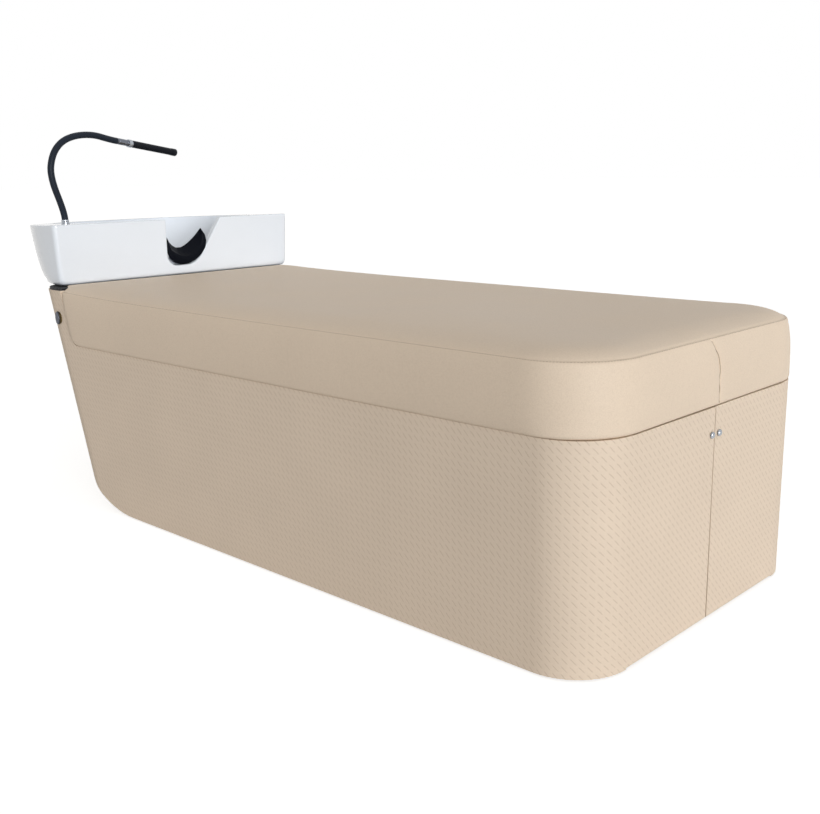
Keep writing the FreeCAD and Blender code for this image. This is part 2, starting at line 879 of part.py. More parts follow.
def rest_outline(y, tip_fall, saddle_fall):
    """Outline of what is scooped off the neck rest, lower by two falls towards the bowl."""
    left_tip = notch_bottom + rest_tip_left - tip_fall
    right_tip = notch_bottom + rest_tip_right - tip_fall
    low = notch_bottom + rest_saddle_depth - saddle_fall
    shoulder = right_tip - rest_shoulder_drop
    left = notch_left - overrun
    right = notch_right + overrun
    top = basin_high + overrun
    corners = [V(rest_saddle_right, y, right_tip), V(rest_shoulder_x, y, shoulder),
               V(right, y, shoulder), V(right, y, top), V(left, y, top),
               V(left, y, left_tip), V(rest_saddle_left, y, left_tip)]
    edges = [Part.Arc(corners[-1], V(rest_saddle_middle, y, low), corners[0]).toShape()]
    for start, end in zip(corners, corners[1:]):
        edges.append(Part.LineSegment(start, end).toShape())
    return Part.Wire(edges)


def neck_rest():
    """Soft saddle that fills the lower part of the notch and laps into the bowl."""
    front = basin_front - rest_proud
    back = basin_front + basin_wall + rest_lip - seat_clearance
    hollow = Part.makeLoft([rest_outline(front, 0, 0),
                            rest_outline(back, rest_tip_fall, rest_saddle_fall)], True, True)
    write("neck_rest", notch(seat_clearance, front, back).cut(hollow))


def basin_support():
    """Steel plate under the basin with two gussets that stand on the head wall."""
    near = basin_front + basin_foot_round + support_front_gap
    plate = block(-support_half_width, support_half_width, near, support_back,
                  support_low, support_low + support_thickness)
    low = upstand_height - gusset_drop
    skin_face = head_face(low, 0)
    for side in (-1, 1):
        middle = side * gusset_place
        rib = side_prism(
            [(head_face(low, 0), low), (head_face(support_low, 0), support_low),
             (support_back, support_low), (support_back, support_low - gusset_end)],
            [0, 0, 0, 0], middle - gusset_thickness / 2, middle + gusset_thickness / 2)
        flange = side_prism(
            [(skin_face, low), (skin_face + gusset_thickness, low),
             (head_face(support_low, 0) + gusset_thickness, support_low),
             (head_face(support_low, 0), support_low)],
            [0, 0, 0, 0], middle - gusset_flange / 2, middle + gusset_flange / 2)
        plate = plate.fuse(rib).fuse(flange)
    plate = plate.removeSplitter()
    for place in bolt_places():
        plate = plate.cut(bolt_hole(place))
    plate = plate.cut(hose_tail_space()).cut(drain_space())
    write("basin_support", plate)
    outer = block(-support_half_width + gasket_margin, support_half_width - gasket_margin,
                  near + gasket_margin, support_back - gasket_margin,
                  gasket_low, basin_low)
    rim = gasket_margin + gasket_width
    inner = block(-support_half_width + rim, support_half_width - rim,
                  near + rim, support_back - rim, gasket_low, basin_low)
    gasket = outer.cut(inner).cut(hose_tail_space())
    for place in bolt_places():
        gasket = gasket.cut(bolt_hole(place))
    write("basin_gasket", gasket)


def basin_bolts():
    """Four bolts from under the deck or plate up into the basin's foot."""
    bolts = []
    for place in bolt_places():
        under = upstand_height if place.y < head_reach - shell else support_low
        base = V(place.x, place.y, under - bolt_head_height)
        head = rod(base, UP, bolt_head_radius, bolt_head_height)
        shank = rod(V(place.x, place.y, under), UP, bolt_radius, basin_low + bolt_grip - under)
        bolts.append(head.fuse(shank).removeSplitter())
    write("basin_bolts", Part.makeCompound(bolts))


def drain():
    """Drain flange in the bowl, its strainer, and the pipe that leaves under the basin."""
    seat = V(0, drain_place, bowl_low)
    flange = rod(seat, UP, drain_flange_radius, drain_flange_height)
    sleeve = rod(V(0, drain_place, basin_low - drain_tail), UP, drain_radius,
                 bowl_floor + drain_tail)
    cup_space = rod(V(0, drain_place, bowl_low - strainer_depth), UP,
                    strainer_radius + running_clearance,
                    strainer_depth + drain_flange_height)
    bore = rod(V(0, drain_place, basin_low - drain_tail), UP, pipe_radius - pipe_wall,
               bowl_floor + overrun)
    write("drain_flange", flange.fuse(sleeve).removeSplitter().cut(cup_space).cut(bore))
    cup = rod(V(0, drain_place, bowl_low - strainer_depth), UP, strainer_radius,
              strainer_depth + drain_flange_height)
    hollow = rod(V(0, drain_place, bowl_low - strainer_depth + strainer_wall), UP,
                 strainer_radius - strainer_wall, strainer_depth + drain_flange_height)
    cup = cup.cut(hollow)
    for index in range(strainer_hole_count):
        angle = math.radians(360 * index / strainer_hole_count)
        place = V(strainer_ring * math.cos(angle), drain_place + strainer_ring * math.sin(angle),
                  bowl_low - strainer_depth - strainer_wall)
        cup = cup.cut(rod(place, UP, strainer_hole, strainer_depth))
    grip = rod(V(0, drain_place, bowl_low - strainer_depth), UP, strainer_grip_radius,
               strainer_wall + strainer_grip_height)
    write("drain_strainer", cup.fuse(grip).removeSplitter())


def hollow_tube(points, name):
    """A bent waste pipe with its bore."""
    path = bent_path(points, even_reaches(points, pipe_bend))
    outside = tube(path, pipe_radius, name)
    inside = tube(path, pipe_radius - pipe_wall, name + " bore")
    return outside.cut(inside)


def waste():
    """Pipe from the drain through the head wall, the trap in the base and its outlet."""
    top = basin_low - drain_tail
    outside = head_face(waste_cross_height, 0)
    elbow = hollow_tube(
        [V(0, drain_place, top), V(0, drain_place, waste_cross_height),
         V(0, outside, waste_cross_height)], "drain_pipe")
    write("drain_pipe", elbow)
    fall = hollow_tube(
        [V(0, outside, waste_cross_height),
         V(0, waste_knee_place, waste_cross_height),
         V(0, trap_place(), trap_top + trap_neck),
         V(0, trap_place(), trap_top)], "waste_pipe")
    write("waste_pipe", fall)
    bottle = rod(V(0, trap_place(), trap_top - trap_height), UP, trap_radius, trap_height)
    axis = V(0, trap_place(), spigot_height)
    reach = head_face(spigot_height, 0) + spigot_shoulder - trap_place()
    spigot = rod(axis, HEADWARD, pipe_radius, reach)
    end = rod(axis, HEADWARD, spigot_end_radius, reach + spigot_end_length)
    bore = rod(axis + HEADWARD * trap_radius, HEADWARD, pipe_radius - pipe_wall,
               reach + spigot_end_length)
    write("waste_trap", bottle.fuse([spigot, end]).removeSplitter().cut(bore))


def water():
    """Valve behind the knob, its inlets on the head wall and the hoses between them."""
    wall_inside = -half_width + shell + valve_flange_gap
    axis = V(-half_width, valve_place, valve_height)
    body = rod(axis, ACROSS, valve_radius, valve_length)
    flange = rod(V(wall_inside, valve_place, valve_height), ACROSS,
                 valve_flange_radius, valve_flange_length)
    ports = []
    for place in (cold_port, hot_port):
        ports.append(rod(axis + ACROSS * place, -UP, valve_port_radius,
                         valve_radius + valve_port_length))
    outlet_x = hose_foot_x
    ports.append(rod(V(outlet_x, valve_place, valve_height), HEADWARD, valve_port_radius,
                     valve_radius + valve_port_length))
    bore = rod(axis, ACROSS, spindle_radius + running_clearance, spindle_length + running_clearance)
    write("water_valve", body.fuse([flange] + ports).removeSplitter().cut(bore))
    middle = axis - ACROSS * (water_knob_gap + water_knob_thickness)
    oval = Part.Ellipse(middle + UP * water_knob_half_height,
                        middle + HEADWARD * water_knob_half_width, middle)
    knob = Part.Face(Part.Wire([oval.toShape()])).extrude(ACROSS * water_knob_thickness)
    rim = [edge for edge in knob.Edges if edge.BoundBox.XMax < axis.x - water_knob_thickness]
    knob = knob.makeFillet(water_knob_round, rim)
    spindle = rod(axis - ACROSS * water_knob_gap, ACROSS, spindle_radius,
                  water_knob_gap + spindle_length)
    write("water_knob", knob.fuse(spindle).removeSplitter())
    port_end = valve_height - valve_radius - valve_port_length
    routes = {"cold": (cold_port, cold_route, -inlet_spread),
              "hot": (hot_port, hot_route, inlet_spread)}
    for name, (port, route, x) in routes.items():
        start = V(axis.x + port, valve_place, port_end)
        points = [start, start - UP * supply_bend]
        points += [V(across, basin_front - back, up) for across, back, up in route]
        points.append(V(x, inlet_start, inlet_height))
        path = bent_path(points, even_reaches(points, supply_bend))
        write(name + "_hose", tube(path, supply_radius, name + "_hose"))
        reach = head_face(inlet_height, 0) + inlet_shoulder - inlet_start
        inlet = rod(points[-1], HEADWARD, inlet_radius, reach)
        end = rod(points[-1], HEADWARD, inlet_end_radius, reach + inlet_end_length)
        hole = rod(points[-1] + HEADWARD * inlet_bore, HEADWARD, inlet_bore,
                   reach + inlet_end_length)
        write(name + "_inlet", inlet.fuse(end).removeSplitter().cut(hole))
    outlet = V(outlet_x, valve_place + valve_radius + valve_port_length, valve_height)
    corner = V(outlet_x, hose_foot_y, valve_height)
    points = [outlet, corner, V(outlet_x, hose_foot_y, hose_tail_low)]
    rise = bent_path(points, even_reaches(points, outlet_bend))
    write("outlet_hose", tube(rise, supply_radius, "outlet_hose"))


def hose_point(distance, height):
    """A place in the upright plane of the gooseneck."""
    turn = math.radians(hose_turn)
    return V(hose_foot_x + distance * math.cos(turn), hose_foot_y + distance * math.sin(turn),
             basin_high + height)


def gooseneck():
    """Chrome foot, swivel nut, self-holding hose, coupling with its collar, and spout."""
    foot = V(hose_foot_x, hose_foot_y, ledge_height)
    flange = rod(foot, UP, hose_base_radius, hose_base_height)
    tail = rod(V(foot.x, foot.y, hose_tail_low), UP, hose_tail_radius,
               ledge_height - hose_tail_low)
    pivot = rod(foot, UP, hose_pivot_radius, hose_base_height + hose_pivot_height)
    write("hose_foot", flange.fuse([tail, pivot]).removeSplitter())
    nut_low = foot + UP * (hose_base_height + soft_clearance)
    nut = rod(nut_low, UP, swivel_nut_radius, swivel_nut_height)
    socket = rod(nut_low, UP, hose_pivot_radius + running_clearance, hose_pivot_height)
    write("swivel_nut", nut.cut(socket))
    points = [nut_low + UP * swivel_nut_height]
    points += [hose_point(distance, height) for distance, height in hose_route]
    path = bent_path(points, shared_reaches(points, bend_share))
    write("gooseneck_hose", tube(path, hose_radius, "gooseneck_hose"))
    start = points[-1]
    tip = hose_point(*spout_tip)
    along = (tip - start).normalize()
    coupling = rod(start, along, coupling_radius, coupling_length)
    waist = start + along * coupling_waist_start
    ring_cut = rod(waist, along, collar_radius, coupling_waist_length)
    core = rod(waist, along, coupling_waist_radius, coupling_waist_length)
    write("hose_coupling", coupling.cut(ring_cut.cut(core)))
    collar = rod(waist + along * soft_clearance, along, collar_radius,
                 coupling_waist_length - 2 * soft_clearance)
    collar = collar.makeFillet(collar_round, [edge for edge in collar.Edges
                                              if hasattr(edge.Curve, "Radius")])
    collar = collar.cut(rod(waist, along, coupling_waist_radius + running_clearance,
                            coupling_waist_length))
    write("flow_collar", collar)
    spout_start = start + along * coupling_length
    reach = (tip - spout_start).Length
    spout = rod(spout_start, along, spout_radius, reach)
    spout = spout.cut(rod(spout_start + along * spout_solid_length, along, spout_bore_radius,
                          reach))
    write("spout", spout)
    print("flow collar centre", collar.BoundBox.Center + V(0, foot_face, 0), "axis", along)


def main():
    base_shell()
    inner_boards()
    glides()
    door("left")
    door("right")
    door_fittings()
    cushion()
    basin()
    neck_rest()
    basin_support()
    basin_bolts()
    drain()
    waste()
    water()
    gooseneck()


os.makedirs("parts", exist_ok=True)
main()
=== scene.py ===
import math

import bmesh
import bpy
import numpy as np
from bpy.props import FloatProperty, FloatVectorProperty, PointerProperty
from mathutils import Matrix, Vector
from mathutils.bvhtree import BVHTree


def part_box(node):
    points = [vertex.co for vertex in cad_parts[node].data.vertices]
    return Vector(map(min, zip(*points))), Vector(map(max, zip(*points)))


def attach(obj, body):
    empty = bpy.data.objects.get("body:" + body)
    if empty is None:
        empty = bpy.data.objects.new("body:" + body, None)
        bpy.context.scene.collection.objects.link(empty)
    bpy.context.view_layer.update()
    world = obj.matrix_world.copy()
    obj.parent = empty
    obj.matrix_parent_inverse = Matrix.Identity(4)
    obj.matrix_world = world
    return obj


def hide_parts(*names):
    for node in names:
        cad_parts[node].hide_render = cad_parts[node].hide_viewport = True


# The looks of a hair washing bed: woven cover, vinyl cushion, glazed basin, neck rest,
# gooseneck hose and metal fittings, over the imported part. Metres, z up, foot end at -y.

bl_info = {
    "name": "Hair Washing Bed",
    "version": (1, 0, 0),
    "blender": (4, 5, 0),
    "location": "3D View > Sidebar > Washing Bed",
    "description": "Dresses the packed hair washing bed with its fabrics, glaze, rubber and metal",
    "category": "Object",
}

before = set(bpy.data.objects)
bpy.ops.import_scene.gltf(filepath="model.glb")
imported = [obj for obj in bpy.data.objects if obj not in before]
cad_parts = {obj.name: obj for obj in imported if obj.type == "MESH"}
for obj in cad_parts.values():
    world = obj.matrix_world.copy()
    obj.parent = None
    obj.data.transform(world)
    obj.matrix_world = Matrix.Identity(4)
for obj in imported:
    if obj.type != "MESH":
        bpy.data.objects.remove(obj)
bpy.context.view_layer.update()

BASE_LOW, BASE_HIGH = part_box("base_cover")
CUSHION_LOW, CUSHION_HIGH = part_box("cushion")
CUSHION_BOARD_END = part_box("cushion_board")[1].y
CUSHION_BOARD_INSET = 0.030
FOOT_FACE = BASE_LOW.y
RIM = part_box("basin")[1].z
DECK_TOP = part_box("head_deck")[1].z
SCREEN_KNEE = 0.04045


def linear(red, green, blue):
    """Linear colour from the 0 to 255 values that a screen shows."""
    shares = (value / 255 for value in (red, green, blue))
    return tuple(share / 12.92 if share <= SCREEN_KNEE else ((share + 0.055) / 1.055) ** 2.4
                 for share in shares)


def colour(name, description, red, green, blue):
    return FloatVectorProperty(name=name, description=description, subtype="COLOR", size=3,
                               min=0, max=1, default=linear(red, green, blue))


def length(name, description, value):
    return FloatProperty(name=name, description=description, default=value, unit="LENGTH",
                         precision=4)


def angle(name, description, degrees):
    return FloatProperty(name=name, description=description, default=math.radians(degrees),
                         subtype="ANGLE")


def number(name, description, value):
    return FloatProperty(name=name, description=description, default=value)


class BedColours(bpy.types.PropertyGroup):
    """Colours of the bed's finishes."""

    fabric: colour("Fabric", "Woven cover of the base and the doors", 234, 217, 198)
    vinyl: colour("Vinyl", "Cover of the cushion", 238, 221, 201)
    # The thread is a darker beige than the vinyl; its darkness paints the shade where the stitches
    # sink into the cover
    thread: colour("Thread", "Stitches on the cushion", 176, 154, 131)
    glaze: colour("Glaze", "Basin", 234, 241, 250)
    black: colour("Black", "Deck under the basin and the neck rest", 10, 13, 21)
    hose: colour("Hose", "Gooseneck hose", 32, 39, 50)
    spout: colour("Spout", "Plastic spout", 12, 16, 25)
    chrome: colour("Chrome", "Bright metal fittings", 172, 177, 184)
    # The sleeve's chrome is darkened to paint the dark surroundings that it reflects
    coupling: colour("Coupling", "Sleeve between hose and spout", 112, 116, 126)
    # The water knob's chrome is darkened to paint the dark surroundings that it reflects
    dark_chrome: colour("Dark chrome", "Water knob", 84, 88, 97)
    brass: colour("Brass", "Valve and inlets", 190, 158, 92)
    steel: colour("Steel", "Hinges, plates and bolts", 168, 172, 176)
    paint: colour("Paint", "Plate that carries the basin", 52, 55, 60)
    plastic: colour("Plastic", "Waste pipes and trap", 226, 227, 224)
    wood: colour("Wood", "Faces of the boards", 205, 176, 133)
    rubber: colour("Rubber", "Water hoses inside and the gasket", 40, 41, 44)


class BedSizes(bpy.types.PropertyGroup):
    """Sizes of the soft and turned pieces that a user would change."""

    foot_corner: length("Foot corner", "Radius of the base's foot corners", 0.116)
    head_corner: length("Head corner", "Radius of the base's head corners", 0.090)
    toe: length("Toe", "Radius of the curve under the head end", 0.300)
    head_lean: angle("Head lean", "Lean of the head end", 17.7)
    skin: length("Skin", "Thickness of the cover", 0.004)
    fabric_round: length("Fabric rounding", "Rounding of the cover's edges", 0.0020)
    door_gap: length("Door gap", "Gap between the two door covers", 0.0030)
    weave_pitch: length("Weave pitch", "Distance from groove to groove", 0.0148)
    weave_length: length("Weave length", "Length of one groove of the weave", 0.0175)
    weave_width: length("Weave width", "How far a groove fades out to each side", 0.0013)
    cushion_corner: length("Cushion corner", "Radius of the cushion's foot corners", 0.128)
    cushion_head_corner: length("Cushion head corner", "Radius at the head", 0.012)
    low_round: length("Low round", "Rounding of the cushion's lower edge", 0.0075)
    end_round: length("End round", "Rounding of the cushion's lower head edge", 0.027)
    seam_round: length("Seam round", "Rounding of the border below the seam", 0.008)
    bulge: length("Bulge", "How far the border leans in at the top", 0.0050)
    settle: length("Settle", "How far the padding settles onto the base", 0.0030)
    seam_height: length("Seam height", "Height of the top seam over the underside", 0.1289)
    head_rise: length("Head rise", "How far the seam climbs at the head", 0.0095)
    lip: length("Lip", "How far the top laps over the deck", 0.023)
    top_corner: length("Top corner", "How much rounder the foot corners are at the top", 0.012)
    crown_rise: length("Crown rise", "How far the top rises above its seam", 0.015)
    crown_reach: length("Crown reach", "How far in the top still rises", 0.210)
    seam_depth: length("Seam depth", "Depth of the sewn seams", 0.0011)
    puff: length("Puff", "Most that the filling pushes the cover out", 0.0035)
    stitch: length("Stitch", "Length of one stitch", 0.0036)
    stitch_pitch: length("Stitch pitch", "Distance from stitch to stitch", 0.0056)
    thread: length("Thread", "Radius of the thread", 0.00045)
    glaze_voxel: length("Glaze cell", "Cell size of the basin's mesh", 0.0020)
    rest_step: length("Rest step", "How far the neck rest's band stands proud", 0.0028)
    hose: length("Hose", "Radius of the gooseneck hose", 0.0086)


class StageSettings(bpy.types.PropertyGroup):
    """Camera and light."""

    camera_place: FloatVectorProperty(name="Camera place", description="Where the camera stands",
                                      default=(-1.745, -1.89365, 0.8554), subtype="TRANSLATION")
    turn: angle("Turn", "Camera's turn from the bed's length", 46.497)
    tilt: angle("Tilt", "How far the camera looks down", 12.793)
    roll: angle("Roll", "Camera's roll", -0.868)
    lens: number("Lens", "Focal length in mm", 45.85)
    around: number("Light all round", "Strength of the even light", 0.42)
    key: number("Key light", "Strength of the light at the foot end", 2.75)
    key_from: FloatVectorProperty(name="Key from", description="Direction that the key comes from",
                                  default=(-0.37, -0.93, 0.05), subtype="DIRECTION")
    fill: number("Fill light", "Strength of the light from above", 0.05)
    floor_lift: number("Floor lift", "How white the floor shows", 0.76)


class Tree:
    """Adds nodes to one node tree and joins them."""

    def __init__(self, tree):
        self.tree = tree
        tree.nodes.clear()

    def add(self, kind, inputs=None, **settings):
        """A node of that kind. Each input takes a value, or the socket that feeds it."""
        node = self.tree.nodes.new("ShaderNode" + kind)
        for name, value in settings.items():
            setattr(node, name, value)
        for name, value in (inputs or {}).items():
            self.feed(node.inputs[name], value)
        return node

    def feed(self, socket, value):
        if isinstance(value, bpy.types.NodeSocket):
            self.tree.links.new(value, socket)
        else:
            socket.default_value = value

    def math(self, operation, *values, clamp=False):
        node = self.add("Math", operation=operation, use_clamp=clamp)
        for socket, value in zip(node.inputs, values):
            self.feed(socket, value)
        return node.outputs[0]

    def mix(self, share, first, second, blend="MIX"):
        """Colour between two colours."""
        node = self.add("Mix", data_type="RGBA", blend_type=blend)
        self.feed(node.inputs["Factor"], share)
        self.feed(node.inputs[6], first)
        self.feed(node.inputs[7], second)
        return node.outputs[2]

    def spread(self, value, low, high, to_low=0.0, to_high=1.0):
        """A value carried from one range to another."""
        node = self.add("MapRange", {"Value": value, "From Min": low, "From Max": high,
                                     "To Min": to_low, "To Max": to_high})
        return node.outputs[0]

    def place(self):
        """Place on the object."""
        return self.add("TexCoord").outputs["Object"]

    def facing(self, axis):
        """How far the surface faces along one axis, from -1 to 1."""
        normal = self.add("NewGeometry").outputs["Normal"]
        return self.add("SeparateXYZ", {0: normal}).outputs[axis]

    def noise(self, place, scale, detail, **inputs):
        """Smooth noise from 0 to 1."""
        wanted = {"Vector": place, "Scale": scale, "Detail": detail, **inputs}
        return self.add("TexNoise", wanted).outputs[0]

    def product(self, first, second):
        return self.math("MULTIPLY", first, second)

    def blended(self, first, first_share, second, second_share):
        """Sum of two values, each times its share."""
        return self.math("ADD", self.product(first, first_share),
                         self.product(second, second_share))

    def darkened(self, tint, tone):
        """A colour times a tone, channel by channel."""
        return self.mix(1.0, tint, opaque(tone), "MULTIPLY")


def opaque(triple):
    return (*triple, 1.0)


def new_group(name, inputs, outputs):
    """An empty node group with its sockets, and the nodes that hold them."""
    group = bpy.data.node_groups.new(name, "ShaderNodeTree")
    for label, kind, value in inputs:
        socket = group.interface.new_socket(name=label, in_out="INPUT", socket_type=kind)
        if value is not None:
            socket.default_value = value
    for label, kind in outputs:
        group.interface.new_socket(name=label, in_out="OUTPUT", socket_type=kind)
    tree = Tree(group)
    entry = tree.tree.nodes.new("NodeGroupInput")
    leave = tree.tree.nodes.new("NodeGroupOutput")
    return tree, entry.outputs, leave.inputs


COLOUR = "NodeSocketColor"
VECTOR = "NodeSocketVector"
VALUE = "NodeSocketFloat"


def group_named(name, build):
    """The node group of that name, built once."""
    if name not in bpy.data.node_groups:
        build(name)
    return bpy.data.node_groups[name]


def build_weave(name):
    """Embossed cover: one short slanting groove in each cell of a square lattice."""
    tree, given, out = new_group(name, [
        ("Vector", VECTOR, None), ("Pitch", VALUE, 0.015), ("Length", VALUE, 0.010),
        ("Width", VALUE, 0.0018), ("Slant", VALUE, math.radians(45))],
        [("Height", VALUE), ("Groove", VALUE)])
    sway = tree.add("TexNoise", {"Vector": given["Vector"], "Scale": 90.0, "Detail": 1.0})
    centred = tree.add("VectorMath", {0: sway.outputs["Color"], 1: (0.5, 0.5, 0.5)},
                       operation="SUBTRACT")
    shift = tree.add("VectorMath", {0: centred.outputs[0], "Scale": 0.0020}, operation="SCALE")
    moved = tree.add("VectorMath", {0: given["Vector"], 1: shift.outputs[0]}, operation="ADD")
    per_metre = tree.math("DIVIDE", 1.0, given["Pitch"])
    cells = tree.add("VectorMath", {0: moved.outputs[0], "Scale": per_metre}, operation="SCALE")
    inside = tree.add("VectorMath", {0: cells.outputs[0]}, operation="FRACTION")
    middle = tree.add("VectorMath", {0: inside.outputs[0], 1: (0.5, 0.5, 0.5)},
                      operation="SUBTRACT")
    turned = tree.add("VectorRotate", {"Vector": middle.outputs[0], "Angle": given["Slant"]},
                      rotation_type="Z_AXIS")
    parts = tree.add("SeparateXYZ", {0: turned.outputs[0]})

    def fading(part, reach, start):
        """1 inside a share of the reach, 0 beyond the reach."""
        away = tree.math("MULTIPLY", tree.math("ABSOLUTE", parts.outputs[part]), given["Pitch"])
        return tree.spread(away, reach, tree.math("MULTIPLY", reach, start))

    groove = tree.math("MULTIPLY", fading("X", tree.math("MULTIPLY", given["Length"], 0.5), 0.6),
                       fading("Y", given["Width"], 0.2))
    thread = tree.add("TexWave", {"Vector": moved.outputs[0], "Scale": 240.0, "Distortion": 1.5},
                      wave_type="BANDS", bands_direction="DIAGONAL")
    fine = tree.math("MULTIPLY", thread.outputs["Fac"], 0.10)
    tree.feed(out["Height"], tree.math("SUBTRACT", fine, groove))
    tree.feed(out["Groove"], groove)


def build_grain(name):
    """Pebbled grain of vinyl, rubber and moulded plastic."""
    tree, given, out = new_group(name, [("Vector", VECTOR, None), ("Scale", VALUE, 900.0)],
                                 [("Height", VALUE), ("Crease", VALUE)])
    pebbles = tree.add("TexVoronoi", {"Vector": given["Vector"], "Scale": given["Scale"],
                                      "Smoothness": 0.6}, feature="SMOOTH_F1")
    waves = tree.noise(given["Vector"], tree.product(given["Scale"], 0.12), 3.0)
    dome = tree.math("SUBTRACT", 1.0, pebbles.outputs["Distance"])
    tree.feed(out["Height"], tree.math("ADD", dome, tree.product(waves, 0.7)))
    tree.feed(out["Crease"], tree.spread(pebbles.outputs["Distance"], 0.35, 0.7))


def build_mottle(name):
    """Slow and fast colour variation, darker and lighter by a share."""
    tree, given, out = new_group(name, [
        ("Vector", VECTOR, None), ("Colour", COLOUR, (0.5, 0.5, 0.5, 1)), ("Amount", VALUE, 0.06),
        ("Scale", VALUE, 6.0)], [("Colour", COLOUR), ("Value", VALUE)])
    slow = tree.noise(given["Vector"], given["Scale"], 4.0)
    fast = tree.noise(given["Vector"], tree.product(given["Scale"], 45.0), 2.0)
    both = tree.blended(slow, 0.6, fast, 0.4)
    low = tree.math("SUBTRACT", 1.0, given["Amount"])
    high = tree.math("ADD", 1.0, given["Amount"])
    level = tree.spread(both, 0.3, 0.7, low, high)
    tint = tree.add("VectorMath", {0: given["Colour"], "Scale": level}, operation="SCALE")
    tree.feed(out["Colour"], tint.outputs[0])
    tree.feed(out["Value"], both)


def build_dust(name):
    """Pale dust that settles on faces that look up."""
    tree, given, out = new_group(name, [
        ("Colour", COLOUR, (0.5, 0.5, 0.5, 1)), ("Amount", VALUE, 0.1),
        ("Dust", COLOUR, (0.62, 0.60, 0.57, 1))], [("Colour", COLOUR)])
    upward = tree.spread(tree.facing("Z"), 0.2, 1.0)
    patches = tree.spread(tree.noise(tree.place(), 160.0, 5.0), 0.42, 0.72)
    mask = tree.product(tree.product(upward, patches), given["Amount"])
    tree.feed(out["Colour"], tree.mix(mask, given["Colour"], given["Dust"]))


def build_wear(name):
    """Mask of rubbed outer edges, broken up by noise."""
    tree, given, out = new_group(name, [("Amount", VALUE, 0.5)], [("Mask", VALUE)])
    edge = tree.spread(tree.add("NewGeometry").outputs["Pointiness"], 0.52, 0.62)
    broken = tree.spread(tree.noise(tree.place(), 220.0, 4.0), 0.35, 0.65)
    tree.feed(out["Mask"], tree.math("MULTIPLY", tree.product(edge, broken), given["Amount"],
                                     clamp=True))


def build_scratches(name):
    """Fine rub marks on metal: a change of roughness and a height."""
    tree, given, out = new_group(name, [("Roughness", VALUE, 0.1), ("Amount", VALUE, 0.05)],
                                 [("Roughness", VALUE), ("Height", VALUE)])
    place = tree.place()
    drawn = tree.add("Mapping", {"Vector": place, "Scale": (1.0, 14.0, 3.0)})
    marks = tree.noise(drawn.outputs[0], 420.0, 4.0)
    both = tree.blended(marks, 0.5, tree.noise(place, 60.0, 2.0), 0.5)
    tree.feed(out["Roughness"], tree.math("ADD", given["Roughness"],
                                          tree.product(both, given["Amount"])))
    tree.feed(out["Height"], marks)


def build_plies(name):
    """Wood grain on a board's faces and its thin layers on the edges."""
    tree, given, out = new_group(name, [("Colour", COLOUR, (0.6, 0.45, 0.25, 1))],
                                 [("Colour", COLOUR), ("Height", VALUE)])
    place = tree.place()
    drawn = tree.add("Mapping", {"Vector": place, "Scale": (18.0, 2.0, 3.0)}).outputs[0]
    figure = tree.noise(drawn, 3.0, 6.0, Distortion=1.2)
    streak = tree.blended(figure, 0.75, tree.noise(drawn, 60.0, 2.0), 0.25)
    dark = tree.darkened(given["Colour"], (0.62, 0.52, 0.42))
    face = tree.mix(tree.spread(streak, 0.35, 0.68), dark, given["Colour"])
    edge = tree.math("LESS_THAN", tree.math("ABSOLUTE", tree.facing("Y")), 0.3)
    layers = tree.add("TexWave", {"Vector": place, "Scale": 95.0}, wave_type="BANDS",
                      bands_direction="Y")
    stripe = tree.mix(tree.spread(layers.outputs["Fac"], 0.4, 0.6), dark, given["Colour"])
    tree.feed(out["Colour"], tree.mix(tree.product(edge, 0.8), face, stripe))
    tree.feed(out["Height"], streak)


def group_node(tree, name, build, inputs=None):
    node = tree.add("Group", node_tree=group_named(name, build))
    for label, value in (inputs or {}).items():
        tree.feed(node.inputs[label], value)
    return node.outputs


def new_material(name, roughness, metallic=0.0, **constants):
    """A material with one Principled shader. The constants sit on its own sockets."""
    material = bpy.data.materials.new(name)
    material.use_nodes = True
    tree = Tree(material.node_tree)
    shader = tree.add("BsdfPrincipled", {"Roughness": roughness, "Metallic": metallic})
    for label, value in constants.items():
        shader.inputs[label.replace("_", " ").title().replace("Ior", "IOR")].default_value = value
    output = tree.add("OutputMaterial")
    tree.feed(output.inputs["Surface"], shader.outputs[0])
    return material, tree, shader.inputs


def bump(tree, shader, height, strength, distance):
    """Feeds a height to the shader's normal."""
    node = tree.add("Bump", {"Height": height, "Strength": strength, "Distance": distance})
    tree.feed(shader["Normal"], node.outputs[0])


def uneven(tree, place, tint, amount, scale):
    """A colour with slow and fast variation, and the value that varies it."""
    return group_node(tree, "Uneven tint", build_mottle, {
        "Vector": place, "Colour": opaque(tint), "Amount": amount, "Scale": scale})


def dusty(tree, tint, amount):
    """A colour with pale dust on faces that look up."""
    return group_node(tree, "Dust", build_dust, {"Colour": tint, "Amount": amount})["Colour"]


def fabric_material(colours, sizes):
    """Beige cover with an embossed slanting weave, with painted shade darkening its grooves."""
    material, tree, shader = new_material("woven_cover", 0.66, specular_ior_level=0.22)
    unrolled = tree.add("UVMap", uv_map="unrolled").outputs[0]
    weave = group_node(tree, "Slanting weave", build_weave, {
        "Vector": unrolled, "Pitch": sizes.weave_pitch, "Length": sizes.weave_length,
        "Width": sizes.weave_width})
    base = uneven(tree, tree.place(), colours.fabric, 0.035, 5.0)
    # Painted shade: the weave's grooves are darkened where shadow falls in them
    groove_shade = tree.darkened(base["Colour"], (0.74, 0.70, 0.65))
    woven = tree.mix(tree.product(weave["Groove"], 0.60), base["Colour"], groove_shade)
    tree.feed(shader["Base Color"], dusty(tree, woven, 0.05))
    tree.feed(shader["Roughness"], tree.spread(weave["Groove"], 0.0, 1.0, 0.60, 0.74))
    bump(tree, shader, weave["Height"], 0.30, 0.0006)
    return material


